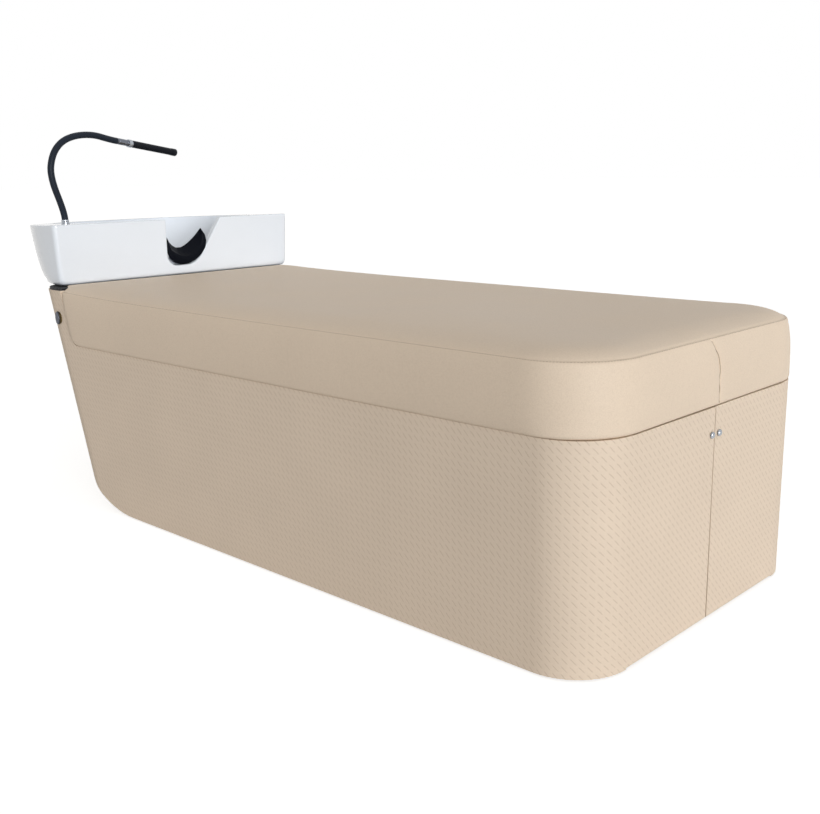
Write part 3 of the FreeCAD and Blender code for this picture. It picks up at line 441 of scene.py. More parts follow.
def vinyl_material(name, tint, roughness=0.46):
    """Smooth vinyl with a fine pebbled grain, with painted shade darkening the grain's creases."""
    material, tree, shader = new_material(name, roughness, specular_ior_level=0.10)
    place = tree.place()
    grain = group_node(tree, "Pebbled grain", build_grain, {"Vector": place, "Scale": 620.0})
    base = uneven(tree, place, tint, 0.03, 4.0)
    # Painted shade: the creases between the pebbles are darkened where shadow falls in them
    dark = tree.darkened(base["Colour"], (0.84, 0.81, 0.78))
    crease_shaded = tree.mix(tree.product(grain["Crease"], 0.35), base["Colour"], dark)
    tree.feed(shader["Base Color"], crease_shaded)
    tree.feed(shader["Roughness"], tree.spread(base["Value"], 0.3, 0.7, roughness - 0.05,
                                               roughness + 0.07))
    bump(tree, shader, grain["Height"], 0.22, 0.0005)
    return material


def thread_material(colours):
    """Sewing thread with its twist."""
    material, tree, shader = new_material("sewing_thread", 0.7, sheen_weight=0.2)
    twist = tree.add("TexWave", {"Vector": tree.place(), "Scale": 900.0, "Distortion": 2.0},
                     wave_type="BANDS", bands_direction="DIAGONAL")
    tint = opaque(colours.thread)
    shade = tree.darkened(tint, (0.75, 0.72, 0.70))
    tree.feed(shader["Base Color"], tree.mix(twist.outputs["Fac"], shade, tint))
    bump(tree, shader, twist.outputs["Fac"], 0.4, 0.0002)
    return material


def glaze_material(colours):
    """Glossy white glaze over a faintly wavy body."""
    material, tree, shader = new_material("white_glaze", 0.13, specular_ior_level=0.55,
                                          coat_weight=0.3, coat_roughness=0.05)
    place = tree.place()
    base = uneven(tree, place, colours.glaze, 0.012, 7.0)
    tree.feed(shader["Base Color"], dusty(tree, base["Colour"], 0.03))
    tree.feed(shader["Roughness"], tree.spread(base["Value"], 0.3, 0.7, 0.10, 0.17))
    pits = tree.product(tree.noise(place, 520.0, 1.0), 0.12)
    height = tree.math("ADD", tree.noise(place, 38.0, 2.0), pits)
    bump(tree, shader, height, 0.10, 0.002)
    return material


def moulded_material(name, tint, roughness, scale=700.0, strength=0.25, dust=0.12, **constants):
    """Rubber or plastic with a fine moulded grain, some dust and rubbed edges."""
    material, tree, shader = new_material(name, roughness, **constants)
    place = tree.place()
    grain = group_node(tree, "Pebbled grain", build_grain, {"Vector": place, "Scale": scale})
    base = uneven(tree, place, tint, 0.10, 12.0)
    worn = group_node(tree, "Edge wear", build_wear, {"Amount": 0.4})
    paler = tree.mix(0.25, base["Colour"], (0.7, 0.7, 0.7, 1))
    edged = tree.mix(worn["Mask"], base["Colour"], paler)
    tree.feed(shader["Base Color"], dusty(tree, edged, dust))
    tree.feed(shader["Roughness"], tree.spread(base["Value"], 0.3, 0.7, roughness - 0.05,
                                               roughness + 0.08))
    bump(tree, shader, grain["Height"], strength, 0.0004)
    return material


def metal_material(name, tint, roughness, amount=0.10, wear=0.3):
    """Metal with fine rub marks and slightly brighter edges."""
    material, tree, shader = new_material(name, roughness, metallic=1.0)
    marks = group_node(tree, "Rub marks", build_scratches, {
        "Roughness": roughness, "Amount": amount})
    base = uneven(tree, tree.place(), tint, 0.05, 25.0)
    worn = group_node(tree, "Edge wear", build_wear, {"Amount": wear})
    bright = tree.mix(0.5, base["Colour"], (0.9, 0.9, 0.9, 1))
    tree.feed(shader["Base Color"], tree.mix(worn["Mask"], base["Colour"], bright))
    tree.feed(shader["Roughness"], marks["Roughness"])
    bump(tree, shader, marks["Height"], 0.05, 0.0002)
    return material


def board_material(name, tint):
    """Birch plywood with its layers at the edges."""
    material, tree, shader = new_material(name, 0.62)
    wood = group_node(tree, "Board grain", build_plies, {"Colour": opaque(tint)})
    tree.feed(shader["Base Color"], dusty(tree, wood["Colour"], 0.15))
    tree.feed(shader["Roughness"], tree.spread(wood["Height"], 0.3, 0.7, 0.70, 0.55))
    bump(tree, shader, wood["Height"], 0.25, 0.0004)
    return material


def dress(material, *names):
    """Gives CAD nodes a material. Their meshes stay as packed."""
    for name in names:
        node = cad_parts[name]
        node.data.materials.clear()
        node.data.materials.append(material)


def smoothed(mesh):
    """Smooth shading on every face."""
    mesh.polygons.foreach_set("use_smooth", [True] * len(mesh.polygons))


def add_piece(name, mesh, material):
    """A new object for a mesh in place."""
    piece = bpy.data.objects.new(name, mesh)
    bpy.context.scene.collection.objects.link(piece)
    mesh.materials.clear()
    mesh.materials.append(material)
    smoothed(mesh)
    return piece


def mesh_of(name, points, faces):
    mesh = bpy.data.meshes.new(name)
    mesh.from_pydata([tuple(point) for point in points], [], faces)
    mesh.update()
    return mesh


def baked(piece):
    """Turns a piece's modifiers into its mesh."""
    depsgraph = bpy.context.evaluated_depsgraph_get()
    shaped = bpy.data.meshes.new_from_object(piece.evaluated_get(depsgraph))
    piece.modifiers.clear()
    piece.data = shaped
    shaped.name = piece.name


def subdivided(piece, levels):
    """Rounds a piece off by subdivision."""
    finer = piece.modifiers.new("Finer", "SUBSURF")
    finer.levels = levels
    baked(piece)
    smoothed(piece.data)


def ring_faces(rings, around, first=0):
    """Four-sided faces between rings of points that follow each other."""
    faces = []
    for ring in range(rings - 1):
        near = first + ring * around
        far = near + around
        for step in range(around):
            following = (step + 1) % around
            faces.append((near + step, near + following, far + following, far + step))
    return faces


def end_faces(rings, around):
    """One face over the first ring and one over the last."""
    return [tuple(reversed(range(around))), tuple(range((rings - 1) * around, rings * around))]


def ramp(value, start, end):
    """0 at the start, 1 at the end, held beyond both."""
    return np.clip((value - start) / (end - start), 0, 1)


def places(mesh):
    """The points of a mesh as rows of three numbers."""
    flat = np.empty(len(mesh.vertices) * 3)
    mesh.vertices.foreach_get("co", flat)
    return flat.reshape(-1, 3)


def set_places(mesh, points):
    mesh.vertices.foreach_set("co", np.asarray(points, dtype=np.float32).ravel())
    mesh.update()


def eased(profile):
    """A turned profile of (along, radius, rounding) rows with each corner eased by a short curve."""
    rows = []
    last = len(profile) - 1
    for index, (along, radius, rounding) in enumerate(profile):
        here = Vector((along, radius))
        if rounding == 0 or index in (0, last):
            rows.append(here)
            continue
        before = Vector(profile[index - 1][:2])
        after = Vector(profile[index + 1][:2])
        start = here + (before - here).normalized() * rounding
        end = here + (after - here).normalized() * rounding
        for share in (0.0, 0.5, 1.0):
            rows.append(start.lerp(here, share).lerp(here.lerp(end, share), share))
    return rows


def turned(name, profile, origin, axis, steps=64, ribs=0, rib_depth=0.0, rib_rows=()):
    """Mesh turned about an axis, with ribs along it on the rows that are named."""
    rows = eased(profile)
    frame_turn = Vector(axis).to_track_quat("Z", "Y")
    points = []
    for along, radius in rows:
        ribbed = ribs and rib_rows[0] < along < rib_rows[1]
        for step in range(steps):
            angle = 2 * math.pi * step / steps
            reach = radius
            if ribbed:
                reach -= rib_depth * (0.5 + 0.5 * math.cos(ribs * angle))
            points.append(frame_turn @ Vector((reach * math.cos(angle), reach * math.sin(angle),
                                               along)) + Vector(origin))
    mesh = mesh_of(name, points, ring_faces(len(rows), steps))
    shape = bmesh.new()
    shape.from_mesh(mesh)
    bmesh.ops.remove_doubles(shape, verts=shape.verts, dist=1e-6)
    bmesh.ops.recalc_face_normals(shape, faces=shape.faces)
    shape.to_mesh(mesh)
    shape.free()
    mesh.set_sharp_from_angle(angle=math.radians(40))
    return mesh


def resampled(line, shares):
    """Points along an open line at shares of its length."""
    line = np.asarray(line)
    steps = np.linalg.norm(np.diff(line, axis=0), axis=1)
    run = np.concatenate([[0], np.cumsum(steps)])
    run /= run[-1]
    return np.stack([np.interp(shares, run, line[:, column]) for column in range(line.shape[1])],
                    axis=1)


def tube_line(name, points, radius, sides=32, spacing=0.003):
    """Round tube that follows the smooth line of a spline through control points."""
    curve = bpy.data.curves.new(name, "CURVE")
    curve.dimensions = "3D"
    curve.resolution_u = 24
    spline = curve.splines.new("NURBS")
    spline.points.add(len(points) - 1)
    for target, point in zip(spline.points, points):
        target.co = (*point, 1.0)
    spline.order_u = 3
    spline.use_endpoint_u = True
    guide = bpy.data.objects.new(name + "_guide", curve)
    line = places(bpy.data.meshes.new_from_object(guide))
    bpy.data.objects.remove(guide)
    run = np.linalg.norm(np.diff(line, axis=0), axis=1).sum()
    count = int(run / spacing) + 1
    line = resampled(line, np.linspace(0, 1, count))
    ahead = np.gradient(line, axis=0)
    ahead /= np.linalg.norm(ahead, axis=1)[:, None]
    across = Vector(ahead[0]).orthogonal().normalized()
    rings = []
    for place, direction in zip(line, ahead):
        direction = Vector(direction)
        across = (across - direction * across.dot(direction)).normalized()
        other = direction.cross(across)
        for side in range(sides):
            angle = 2 * math.pi * side / sides
            rings.append(Vector(place) + (across * math.cos(angle)
                                          + other * math.sin(angle)) * radius)
    return mesh_of(name, rings, ring_faces(count, sides) + end_faces(count, sides))


# Base cover

def head_shift(height, sizes):
    return height * math.tan(sizes.head_lean)


def unrolled(point, normal, sizes):
    """Place of a point of the cover on the flat fabric: round the base, and up."""
    half = BASE_HIGH.x
    high = BASE_HIGH.z
    low = BASE_LOW.z
    side = -1 if point.x < 0 else 1
    across = abs(point.x)
    along = point.y - FOOT_FACE
    hinge = half - sizes.foot_corner
    quarter = math.pi / 2
    back = BASE_HIGH.y - FOOT_FACE - head_shift(high - point.z, sizes)
    edge = back - sizes.head_corner
    up = point.z
    if across < hinge and along < sizes.foot_corner:
        return side * across, up
    if along < sizes.foot_corner:
        angle = math.atan2(across - hinge, sizes.foot_corner - along)
        return side * (hinge + sizes.foot_corner * angle), up
    if abs(normal.x) > 0.9 or along < edge:
        return side * (hinge + sizes.foot_corner * quarter + along - sizes.foot_corner), up
    leaning = math.pi / 2 - sizes.head_lean
    toe_start = (BASE_HIGH.y - FOOT_FACE - head_shift(high - low, sizes)
                 - sizes.toe * math.tan(leaning / 2))
    angle = math.atan2(along - toe_start, low + sizes.toe - up)
    if angle < leaning:
        climb = sizes.toe * angle
    else:
        tangent_height = low + sizes.toe * (1 - math.cos(leaning))
        climb = sizes.toe * leaning + (up - tangent_height) / math.cos(sizes.head_lean)
    girth = hinge + sizes.foot_corner * quarter + edge - sizes.foot_corner
    corner = math.atan2(max(along - edge, 0), max(across - half + sizes.head_corner, 0))
    girth += sizes.head_corner * corner + max(half - sizes.head_corner - across, 0)
    return side * girth, climb


def outward(point):
    """Level direction from the base's long middle line to a point."""
    spine = min(max(point.y, BASE_LOW.y + BASE_HIGH.x), BASE_HIGH.y - BASE_HIGH.x)
    return Vector((point.x, point.y - spine, 0)).normalized()


def rounded_edge(edge, sizes):
    """Whether an edge of the cover is one of its outer edges, away from the hinge lines."""
    if len(edge.link_faces) != 2 or edge.calc_face_angle() < math.radians(40):
        return False
    start, end = (vertex.co for vertex in edge.verts)
    middle = (start + end) / 2
    hinge = BASE_HIGH.x - sizes.foot_corner
    upright = abs((end - start).normalized().z) > 0.9
    near_hinge = abs(abs(middle.x) - hinge) < sizes.skin
    if upright and near_hinge and middle.y < FOOT_FACE + 2 * sizes.skin:
        return False
    return any(face.normal.dot(outward(middle)) > 0.3 for face in edge.link_faces)


# Clearance at the doors' hinge lines, and how far down and by how much their tops are raised
HINGE_CLEARANCE = 0.00015
DOOR_TOP_REACH = 0.010
DOOR_TOP_RAISE = 0.0012


def fabric_piece(name, node, body, material, sizes):
    """The cover from a CAD node, with soft outer edges and the fabric laid round it."""
    shape = bmesh.new()
    shape.from_mesh(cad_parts[node].data)
    bmesh.ops.remove_doubles(shape, verts=shape.verts, dist=1e-5)
    bmesh.ops.dissolve_limit(shape, angle_limit=math.radians(0.6), verts=shape.verts,
                             edges=shape.edges)
    if node.startswith("door"):
        hinge = BASE_HIGH.x - sizes.foot_corner
        for vertex in shape.verts:
            side = -1 if vertex.co.x < 0 else 1
            at_hinge = abs(vertex.co.x) > hinge / 2
            vertex.co.x = side * (hinge - HINGE_CLEARANCE if at_hinge else sizes.door_gap / 2)
            if vertex.co.z > CUSHION_LOW.z - DOOR_TOP_REACH:
                vertex.co.z += DOOR_TOP_RAISE
    weights = shape.edges.layers.float.new("bevel_weight_edge")
    for edge in shape.edges:
        edge[weights] = 1.0 if rounded_edge(edge, sizes) else 0.0
    flat = shape.loops.layers.uv.new("unrolled")
    for face in shape.faces:
        for loop in face.loops:
            loop[flat].uv = unrolled(loop.vert.co, face.normal, sizes)
    mesh = bpy.data.meshes.new(name)
    shape.to_mesh(mesh)
    shape.free()
    piece = add_piece(name, mesh, material)
    mesh.set_sharp_from_angle(angle=math.radians(35))
    soft = piece.modifiers.new("Soft edges", "BEVEL")
    soft.limit_method = "WEIGHT"
    soft.width = sizes.fabric_round if node == "base_cover" else sizes.fabric_round * 0.6
    soft.segments = 4
    soft.harden_normals = True
    baked(piece)
    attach(piece, body)
    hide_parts(node)
    return piece


# Cushion

def cushion_place():
    """The cushion's half width, foot, head and underside in the part's frame."""
    _, sizes, _ = bed()
    return CUSHION_HIGH.x, CUSHION_LOW.y, CUSHION_BOARD_END, CUSHION_LOW.z - sizes.settle


def cushion_runs(inset, end_inset, height, sizes, foot_shares, side_shares):
    """One ring of the cushion: its foot, right, head and left runs, each cut at its shares."""
    half, near, board_end, _ = cushion_place()
    half -= inset
    near += inset
    climb = min(height / sizes.seam_height, 1)
    far_height = height + sizes.head_rise * climb
    far = board_end + CUSHION_BOARD_INSET + head_shift(far_height, sizes) - end_inset
    foot = sizes.cushion_corner - 0.45 * inset + sizes.top_corner * climb ** 2
    head = sizes.cushion_head_corner

    def arc(centre_x, centre_y, radius, start, end):
        angles = np.radians(np.linspace(start, end, 16))
        return np.stack([centre_x + radius * np.cos(angles), centre_y + radius * np.sin(angles)],
                        axis=1)

    foot_run = np.concatenate([arc(-half + foot, near + foot, foot, 225, 270),
                               arc(half - foot, near + foot, foot, 270, 315)])
    right_run = np.concatenate([arc(half - foot, near + foot, foot, 315, 360),
                                arc(half - head, far - head, head, 0, 45)])
    head_run = np.concatenate([arc(half - head, far - head, head, 45, 90),
                               arc(-half + head, far - head, head, 90, 135)])
    left_run = np.concatenate([arc(-half + head, far - head, head, 135, 180),
                               arc(-half + foot, near + foot, foot, 180, 225)])
    return (resampled(foot_run, foot_shares), resampled(right_run, side_shares),
            resampled(head_run, 1 - foot_shares[::-1]),
            resampled(left_run, 1 - side_shares[::-1]))


# How late the cushion's rise towards the head comes, and how early the crown's rise from its seam
HEAD_RISE_POWER = 6.5
CROWN_POWER = 11
CROWN_EASINGS = 5


def lifted(along, height, sizes):
    """Height over the underside once the cushion's rise towards the head is added."""
    share = ramp(along, CUSHION_LOW.y, CUSHION_HIGH.y - sizes.lip)
    climb = np.minimum(height / sizes.seam_height, 1)
    return height + sizes.head_rise * climb * share ** HEAD_RISE_POWER


def round_inset(height, radius):
    below = max(radius - height, 0)
    return radius - math.sqrt(radius ** 2 - below ** 2)


# Share of the border's height where it starts to lean in
BULGE_START = 0.45
LOW_SHARES = (0.0, 0.13, 0.5, 1.0)
BORDER_SHARES = (0.07, 0.16, 0.26, 0.38, 0.5, 0.62, 0.74, 0.86, 0.95, 1.0)
# Degrees round the edge below the seam, and the share of the seam's depth that each ring sinks
SEAM_ROWS = ((20, 0.0), (38, 0.0), (50, 0.15), (60, 0.3), (68, 0.35), (76, 1.0), (84, 0.55))
# Distance in from the seam, puff in shares of its depth, and reach in shares of the lip
LIP_ROWS = ((0.0025, 0.30, -0.10), (0.006, 0.34, -0.07), (0.011, 0.22, -0.03),
            (0.0155, 0.0, 0.10), (0.018, 0.0, 0.62), (0.022, 0.0, 0.86), (0.027, 0.0, 0.97),
            (0.034, 0.0, 1.0))


def border_rows(sizes):
    """Height, side inset, end inset and pin weight of each ring, from the underside to the top."""
    seam = sizes.seam_height
    side_high = seam - sizes.seam_round
    rows = []
    heights = [share * sizes.low_round for share in LOW_SHARES]
    span = side_high - sizes.low_round
    heights += [sizes.low_round + span * share for share in BORDER_SHARES]
    for height in heights:
        share = max(height - sizes.low_round, 0) / span
        drawn_in = sizes.bulge * max(share - BULGE_START, 0) ** 2 / (1 - BULGE_START) ** 2
        pinned = 1.0 if height < sizes.low_round / 2 else 0.0
        rows.append((height, drawn_in + round_inset(height, sizes.low_round),
                     round_inset(height, sizes.end_round), pinned))
    for degrees, sink in SEAM_ROWS:
        angle = math.radians(degrees)
        radius = sizes.seam_round
        inset = radius * (1 - math.cos(angle)) + sink * sizes.seam_depth * math.cos(angle)
        rows.append((side_high + radius * math.sin(angle) - sink * sizes.seam_depth,
                     sizes.bulge + inset, 0.3 * inset, 1.0 if degrees > 40 else 0.0))
    for distance, puff, out in LIP_ROWS:
        rows.append((seam + crown(distance, sizes) + puff * sizes.seam_depth,
                     sizes.bulge + sizes.seam_round + distance, -out * sizes.lip,
                     1.0 if distance < 0.005 else 0.0))
    return rows


def crown(distance, sizes):
    """Rise of the cushion's top at a distance in from its seam."""
    share = np.clip(distance / sizes.crown_reach, 0, 1)
    return sizes.crown_rise * (1 - (1 - share) ** CROWN_POWER)


# The seam on the foot border: its depth, its dark thread that also paints the seam's shade line, and
# its places across at some heights
FOOT_SEAM_DEPTH = 0.0036
FOOT_THREAD = 0.0006
FOOT_SEAM_HEIGHTS = (0.0, 0.035, 0.069, 0.087, 0.102, 0.115, 0.127)
FOOT_SEAM_PLACES = (0.0079, 0.0060, 0.0040, -0.0005, -0.0071, -0.0150, -0.0248)


def foot_seam(height):
    """Place across of the seam on the foot border, which bows towards the left at the top."""
    return float(np.interp(height, FOOT_SEAM_HEIGHTS, FOOT_SEAM_PLACES))


def run_shares(count, extra=()):
    """Even shares from 0 to 1, with closer ones put in."""
    even = [step / count for step in range(count + 1)]
    kept = [share for share in even
            if all(abs(share - other) > 0.3 / count for other in extra)]
    return np.array(sorted(kept + list(extra)))


def crown_heights(grid_x, grid_y, sizes, boundary):
    """Heights of the top's inner points, eased so that no ridge runs in from the corners."""
    half, near, _, low = cushion_place()
    inset = sizes.bulge + sizes.seam_round
    far = CUSHION_HIGH.y
    centre_y = (near + inset + far) / 2
    span_x = half - inset
    span_y = (far - near - inset) / 2
    corner = np.where(grid_y < centre_y, sizes.cushion_corner + sizes.top_corner,
                      sizes.cushion_head_corner)
    beyond_x = np.abs(grid_x) - (span_x - corner)
    beyond_y = np.abs(grid_y - centre_y) - (span_y - corner)
    outside = np.hypot(np.maximum(beyond_x, 0), np.maximum(beyond_y, 0))
    inside = np.minimum(np.maximum(beyond_x, beyond_y), 0)
    distance = np.maximum(corner - outside - inside, 0)
    heights = low + lifted(grid_y, sizes.seam_height + crown(distance, sizes), sizes)
    for row in (0, -1):
        heights[row, :] = low + lifted(grid_y[row, :], boundary, sizes)
        heights[:, row] = low + lifted(grid_y[:, row], boundary, sizes)
    for _ in range(CROWN_EASINGS):
        eased_heights = heights.copy()
        eased_heights[1:-1, 1:-1] = (heights[:-2, 1:-1] + heights[2:, 1:-1]
                                     + heights[1:-1, :-2] + heights[1:-1, 2:]) / 4
        heights = eased_heights
    return heights


def patch(foot, right, head, left):
    """Grid of points between four runs that go round it."""
    foot = foot[None, :, :]
    head = head[::-1][None, :, :]
    right = right[:, None, :]
    left = left[::-1][:, None, :]
    share_x = np.linspace(0, 1, foot.shape[1])[None, :, None]
    share_y = np.linspace(0, 1, right.shape[0])[:, None, None]
    corners = ((1 - share_x) * (1 - share_y) * foot[:, :1] + share_x * (1 - share_y) * foot[:, -1:]
               + (1 - share_x) * share_y * head[:, :1] + share_x * share_y * head[:, -1:])
    return ((1 - share_y) * foot + share_y * head + (1 - share_x) * left + share_x * right
            - corners)


def cushion_mesh(sizes):
    """Closed mesh of the cushion in rings and two capped grids, and the weight that pins it."""
    half, _, _, low = cushion_place()
    run = 2 * half - 2 * sizes.cushion_corner + math.pi / 2 * sizes.cushion_corner
    middle = 0.5 + foot_seam(0.0) / run
    close = [middle + offset / run for offset in (-0.006, -0.0018, 0, 0.0018, 0.006)]
    foot_shares = run_shares(48, close)
    side_shares = run_shares(100, [0.9965])
    across = len(foot_shares) - 1
    along = len(side_shares) - 1
    ring = 2 * (across + along)
    rows = border_rows(sizes)
    points = []
    pins = []
    runs = ()
    for height, inset, end_inset, pinned in rows:
        runs = cushion_runs(inset, end_inset, height, sizes, foot_shares, side_shares)
        foot = runs[0]
        seam = foot_seam(height)
        column = int(np.argmin(np.abs(foot[:, 0] - foot_seam(0.0))))
        offsets = foot[:, 0] - foot[column, 0]
        foot[:, 0] += (seam - foot[column, 0]) * np.exp(-(offsets / 0.07) ** 2)
        sink = np.exp(-(np.abs(foot[:, 0] - seam) / 0.0014) ** 2)
        foot[:, 1] += FOOT_SEAM_DEPTH * sink * (1 - pinned)
        loop = np.concatenate([line[:-1] for line in runs])
        points.append(np.column_stack([loop, low + lifted(loop[:, 1], height, sizes)]))
        on_seam = np.zeros(ring)
        on_seam[:across + 1] = np.exp(-(np.abs(foot[:, 0] - seam) / 0.004) ** 2)
        pins.append(np.maximum(pinned, on_seam))
    bottom_runs = cushion_runs(rows[0][1], rows[0][2], rows[0][0], sizes, foot_shares,
                               side_shares)
    top_grid = patch(*runs)
    bottom_grid = patch(*bottom_runs)
    top_z = crown_heights(top_grid[:, :, 0], top_grid[:, :, 1], sizes, rows[-1][0])
    inner_top = np.dstack([top_grid, top_z])[1:-1, 1:-1].reshape(-1, 3)
    flat = np.full(bottom_grid.shape[:2], low)
    inner_bottom = np.dstack([bottom_grid, flat])[1:-1, 1:-1].reshape(-1, 3)
    rings = np.concatenate(points)
    inner_pins = np.concatenate([np.zeros(len(inner_top)), np.ones(len(inner_bottom))])
    faces = ring_faces(len(rows), ring)
    top_start = len(rings)
    bottom_start = top_start + len(inner_top)
    faces += cap_faces((len(rows) - 1) * ring, top_start, across, along, False)
    faces += cap_faces(0, bottom_start, across, along, True)
    everything = np.concatenate([rings, inner_top, inner_bottom])
    lower_lip(everything)
    return everything, faces, np.concatenate([np.concatenate(pins), inner_pins])


LIP_CLEARANCE = 0.0006
LIP_REACH = 0.055
LIP_PRESS = 0.85


def lower_lip(points):
    """Presses the top down towards the basin, and leaves it clear of the deck."""
    share = ramp(points[:, 1], CUSHION_HIGH.y - LIP_REACH, CUSHION_HIGH.y)
    above = np.maximum(points[:, 2] - DECK_TOP - LIP_CLEARANCE, 0)
    points[:, 2] -= LIP_PRESS * share ** 2 * above


def cap_faces(ring_start, inner_start, across, along, flipped):
    """Faces of a grid whose border is a ring and whose inner points follow row by row."""
    ring = 2 * (across + along)

    def index(column, row):
        if row == 0:
            return ring_start + column
        if column == across:
            return ring_start + across + row
        if row == along:
            return ring_start + across + along + across - column
        if column == 0:
            return ring_start + (2 * across + along + along - row) % ring
        return inner_start + (row - 1) * (across - 1) + column - 1

    faces = []
    for row in range(along):
        for column in range(across):
            corners = (index(column, row), index(column + 1, row),
                       index(column + 1, row + 1), index(column, row + 1))
            faces.append(corners[::-1] if flipped else corners)
    return faces


def filled(piece, pins, cap, pressure=4.0, last_frame=20):
    """Puffs a closed cover out by a short cloth simulation, each point's move kept under a cap."""
    before = places(piece.data)
    group = piece.vertex_groups.new(name="sewn")
    for index, weight in enumerate(pins):
        if weight > 0.01:
            group.add([index], float(min(weight, 1)), "REPLACE")
    cloth = piece.modifiers.new("Filling", "CLOTH")
    settings = cloth.settings
    settings.quality = 4
    settings.mass = 0.4
    settings.tension_stiffness = 25
    settings.compression_stiffness = 25
    settings.bending_stiffness = 3
    settings.use_pressure = True
    settings.uniform_pressure_force = pressure
    settings.effector_weights.gravity = 0
    settings.vertex_group_mass = group.name
    cloth.point_cache.frame_start = 1
    cloth.point_cache.frame_end = last_frame
    for number in range(1, last_frame + 1):
        bpy.context.scene.frame_set(number)
    depsgraph = bpy.context.evaluated_depsgraph_get()
    after = places(piece.evaluated_get(depsgraph).to_mesh())
    piece.modifiers.remove(cloth)
    piece.vertex_groups.clear()
    bpy.context.scene.frame_set(1)
    moves = after - before
    sizes = np.linalg.norm(moves, axis=1)[:, None]
    moves *= cap / (cap + sizes)
    set_places(piece.data, before + moves)


STITCH_SIDES = 6
# Share of the stitch's length and height in thread radii of each ring of a stitch
STITCH_RINGS = ((-0.5, -1.2), (-0.34, 0.1), (0.0, 0.45), (0.34, 0.1), (0.5, -1.2))


def stitch_points(start, ahead, up, sizes):
    """Points of one stitch: a short thread that dips into the cover at both ends."""
    across = ahead.cross(up).normalized()
    points = []
    for share, dip in STITCH_RINGS:
        centre = start + ahead * (share * sizes.stitch) + up * (dip * sizes.thread)
        for step in range(STITCH_SIDES):
            angle = 2 * math.pi / STITCH_SIDES * step
            points.append(centre + (across * math.cos(angle) + up * math.sin(angle))
                          * sizes.thread)
    return points


def stitches(name, line, surface, sizes):
    """Row of stitches laid on a surface along a line of points."""
    line = np.asarray(line)
    run = np.linalg.norm(np.diff(line, axis=0), axis=1).sum()
    count = int(run / sizes.stitch_pitch)
    spots = resampled(line, (np.arange(count) + 0.5) / count)
    points = []
    faces = []
    for index, spot in enumerate(spots):
        ahead = Vector(spots[(index + 1) % count] - spots[index - 1]).normalized()
        place, normal, _, _ = surface.find_nearest(Vector(spot))
        first = len(points)
        points += stitch_points(place, ahead, normal, sizes)
        faces += ring_faces(len(STITCH_RINGS), STITCH_SIDES, first)
    return mesh_of(name, points, faces)


# Basin, neck rest and hose

def remeshed(node, name, voxel, rounds):
    """A CAD node as an even mesh with softened edges."""
    piece = bpy.data.objects.new(name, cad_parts[node].data.copy())
    bpy.context.scene.collection.objects.link(piece)
    even = piece.modifiers.new("Even cells", "REMESH")
    even.mode = "VOXEL"
    even.voxel_size = voxel
    soft = piece.modifiers.new("Soft edges", "SMOOTH")
    soft.factor = 0.5
    soft.iterations = rounds
    baked(piece)
    return piece


# Front outline of the neck rest across and up, its ridge, and its back edge across, up and back
REST_OUTER = ((-0.048, 0.680), (-0.048, 0.657), (-0.045, 0.634), (-0.038, 0.618),
              (-0.025, 0.606), (-0.003, 0.5985), (0.021, 0.5995), (0.046, 0.608), (0.069, 0.623),
              (0.085, 0.643), (0.090, 0.663), (0.085, 0.681), (0.069, 0.700))
REST_RIDGE = ((-0.048, 0.680), (-0.042, 0.664), (-0.037, 0.652), (-0.032, 0.642),
              (-0.019, 0.633), (-0.001, 0.624), (0.018, 0.621), (0.036, 0.626), (0.052, 0.636),
              (0.066, 0.650), (0.072, 0.665), (0.073, 0.682), (0.069, 0.700))
REST_BACK = ((-0.048, 0.680, 0.000), (-0.034, 0.667, 0.010), (-0.018, 0.657, 0.020),
             (-0.002, 0.650, 0.027), (0.018, 0.650, 0.030), (0.039, 0.660, 0.030),
             (0.057, 0.675, 0.025), (0.066, 0.689, 0.014), (0.069, 0.700, 0.002))


def rest_mesh(name, front, sizes, rings=72):
    """Saddle with two thin tips: a rounded front band, its ridge, and the hollow behind it."""
    spread = (1 - np.cos(np.linspace(0, math.pi, rings))) / 2
    outer = resampled(REST_OUTER, spread)
    ridge = resampled(REST_RIDGE, spread)
    back = resampled(REST_BACK, spread)
    points = []
    for low, edge, far in zip(outer, ridge, back):
        depth = far[2]
        thin = min(depth / 0.012, 1)
        proud = sizes.rest_step * thin
        for share, forward in ((0.0, -0.2), (0.12, 0.35), (0.35, 0.9), (0.65, 1.0), (0.9, 0.7),
                               (1.0, 0.25)):
            across, up = low + (edge - low) * share
            points.append((across, front + 0.0016 * thin - forward * proud, up))
        for share, sag in ((0.06, 0.0), (0.3, 0.10), (0.6, 0.12), (0.88, 0.04), (1.0, 0.0)):
            across, up = edge + (far[:2] - edge) * share
            sunk = sag * thin * np.linalg.norm(far[:2] - edge)
            points.append((across, front + 0.0016 * thin + depth * share, up - sunk))
        across, up = low + (far[:2] - low) * 0.55
        points.append((across, front + depth * 1.02, up))
        across, up = low + (far[:2] - low) * 0.10
        points.append((across, front + depth * 0.92, up))
    around = len(points) // rings
    return mesh_of(name, points, ring_faces(rings, around) + end_faces(rings, around))


HOSE_TURN = math.radians(7.8)
# Distance from the hose's foot and height above the basin's rim
HOSE_ROUTE = ((0.0, 0.01073), (0.0, 0.029), (-0.035, 0.123), (-0.024, 0.176), (0.006, 0.211),
              (0.052, 0.2285), (0.112, 0.232), (0.166, 0.2195), (0.190, 0.216))
SPOUT_TIP = (0.400, 0.1855)


def hose_place(distance, height):
    """A place in the upright plane of the gooseneck."""
    low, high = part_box("swivel_nut")
    foot = (low + high) / 2
    return Vector((foot.x + distance * math.cos(HOSE_TURN),
                   foot.y + distance * math.sin(HOSE_TURN), RIM + height))


def riding(piece, body, slot, *nodes):
    """A piece that moves with a body and stands for CAD nodes."""
    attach(piece, body)
    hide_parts(*nodes)
    return piece


def bed():
    """The settings that the operators share."""
    scene = bpy.context.scene
    return scene.bed_colours, scene.bed_sizes, scene.bed_stage


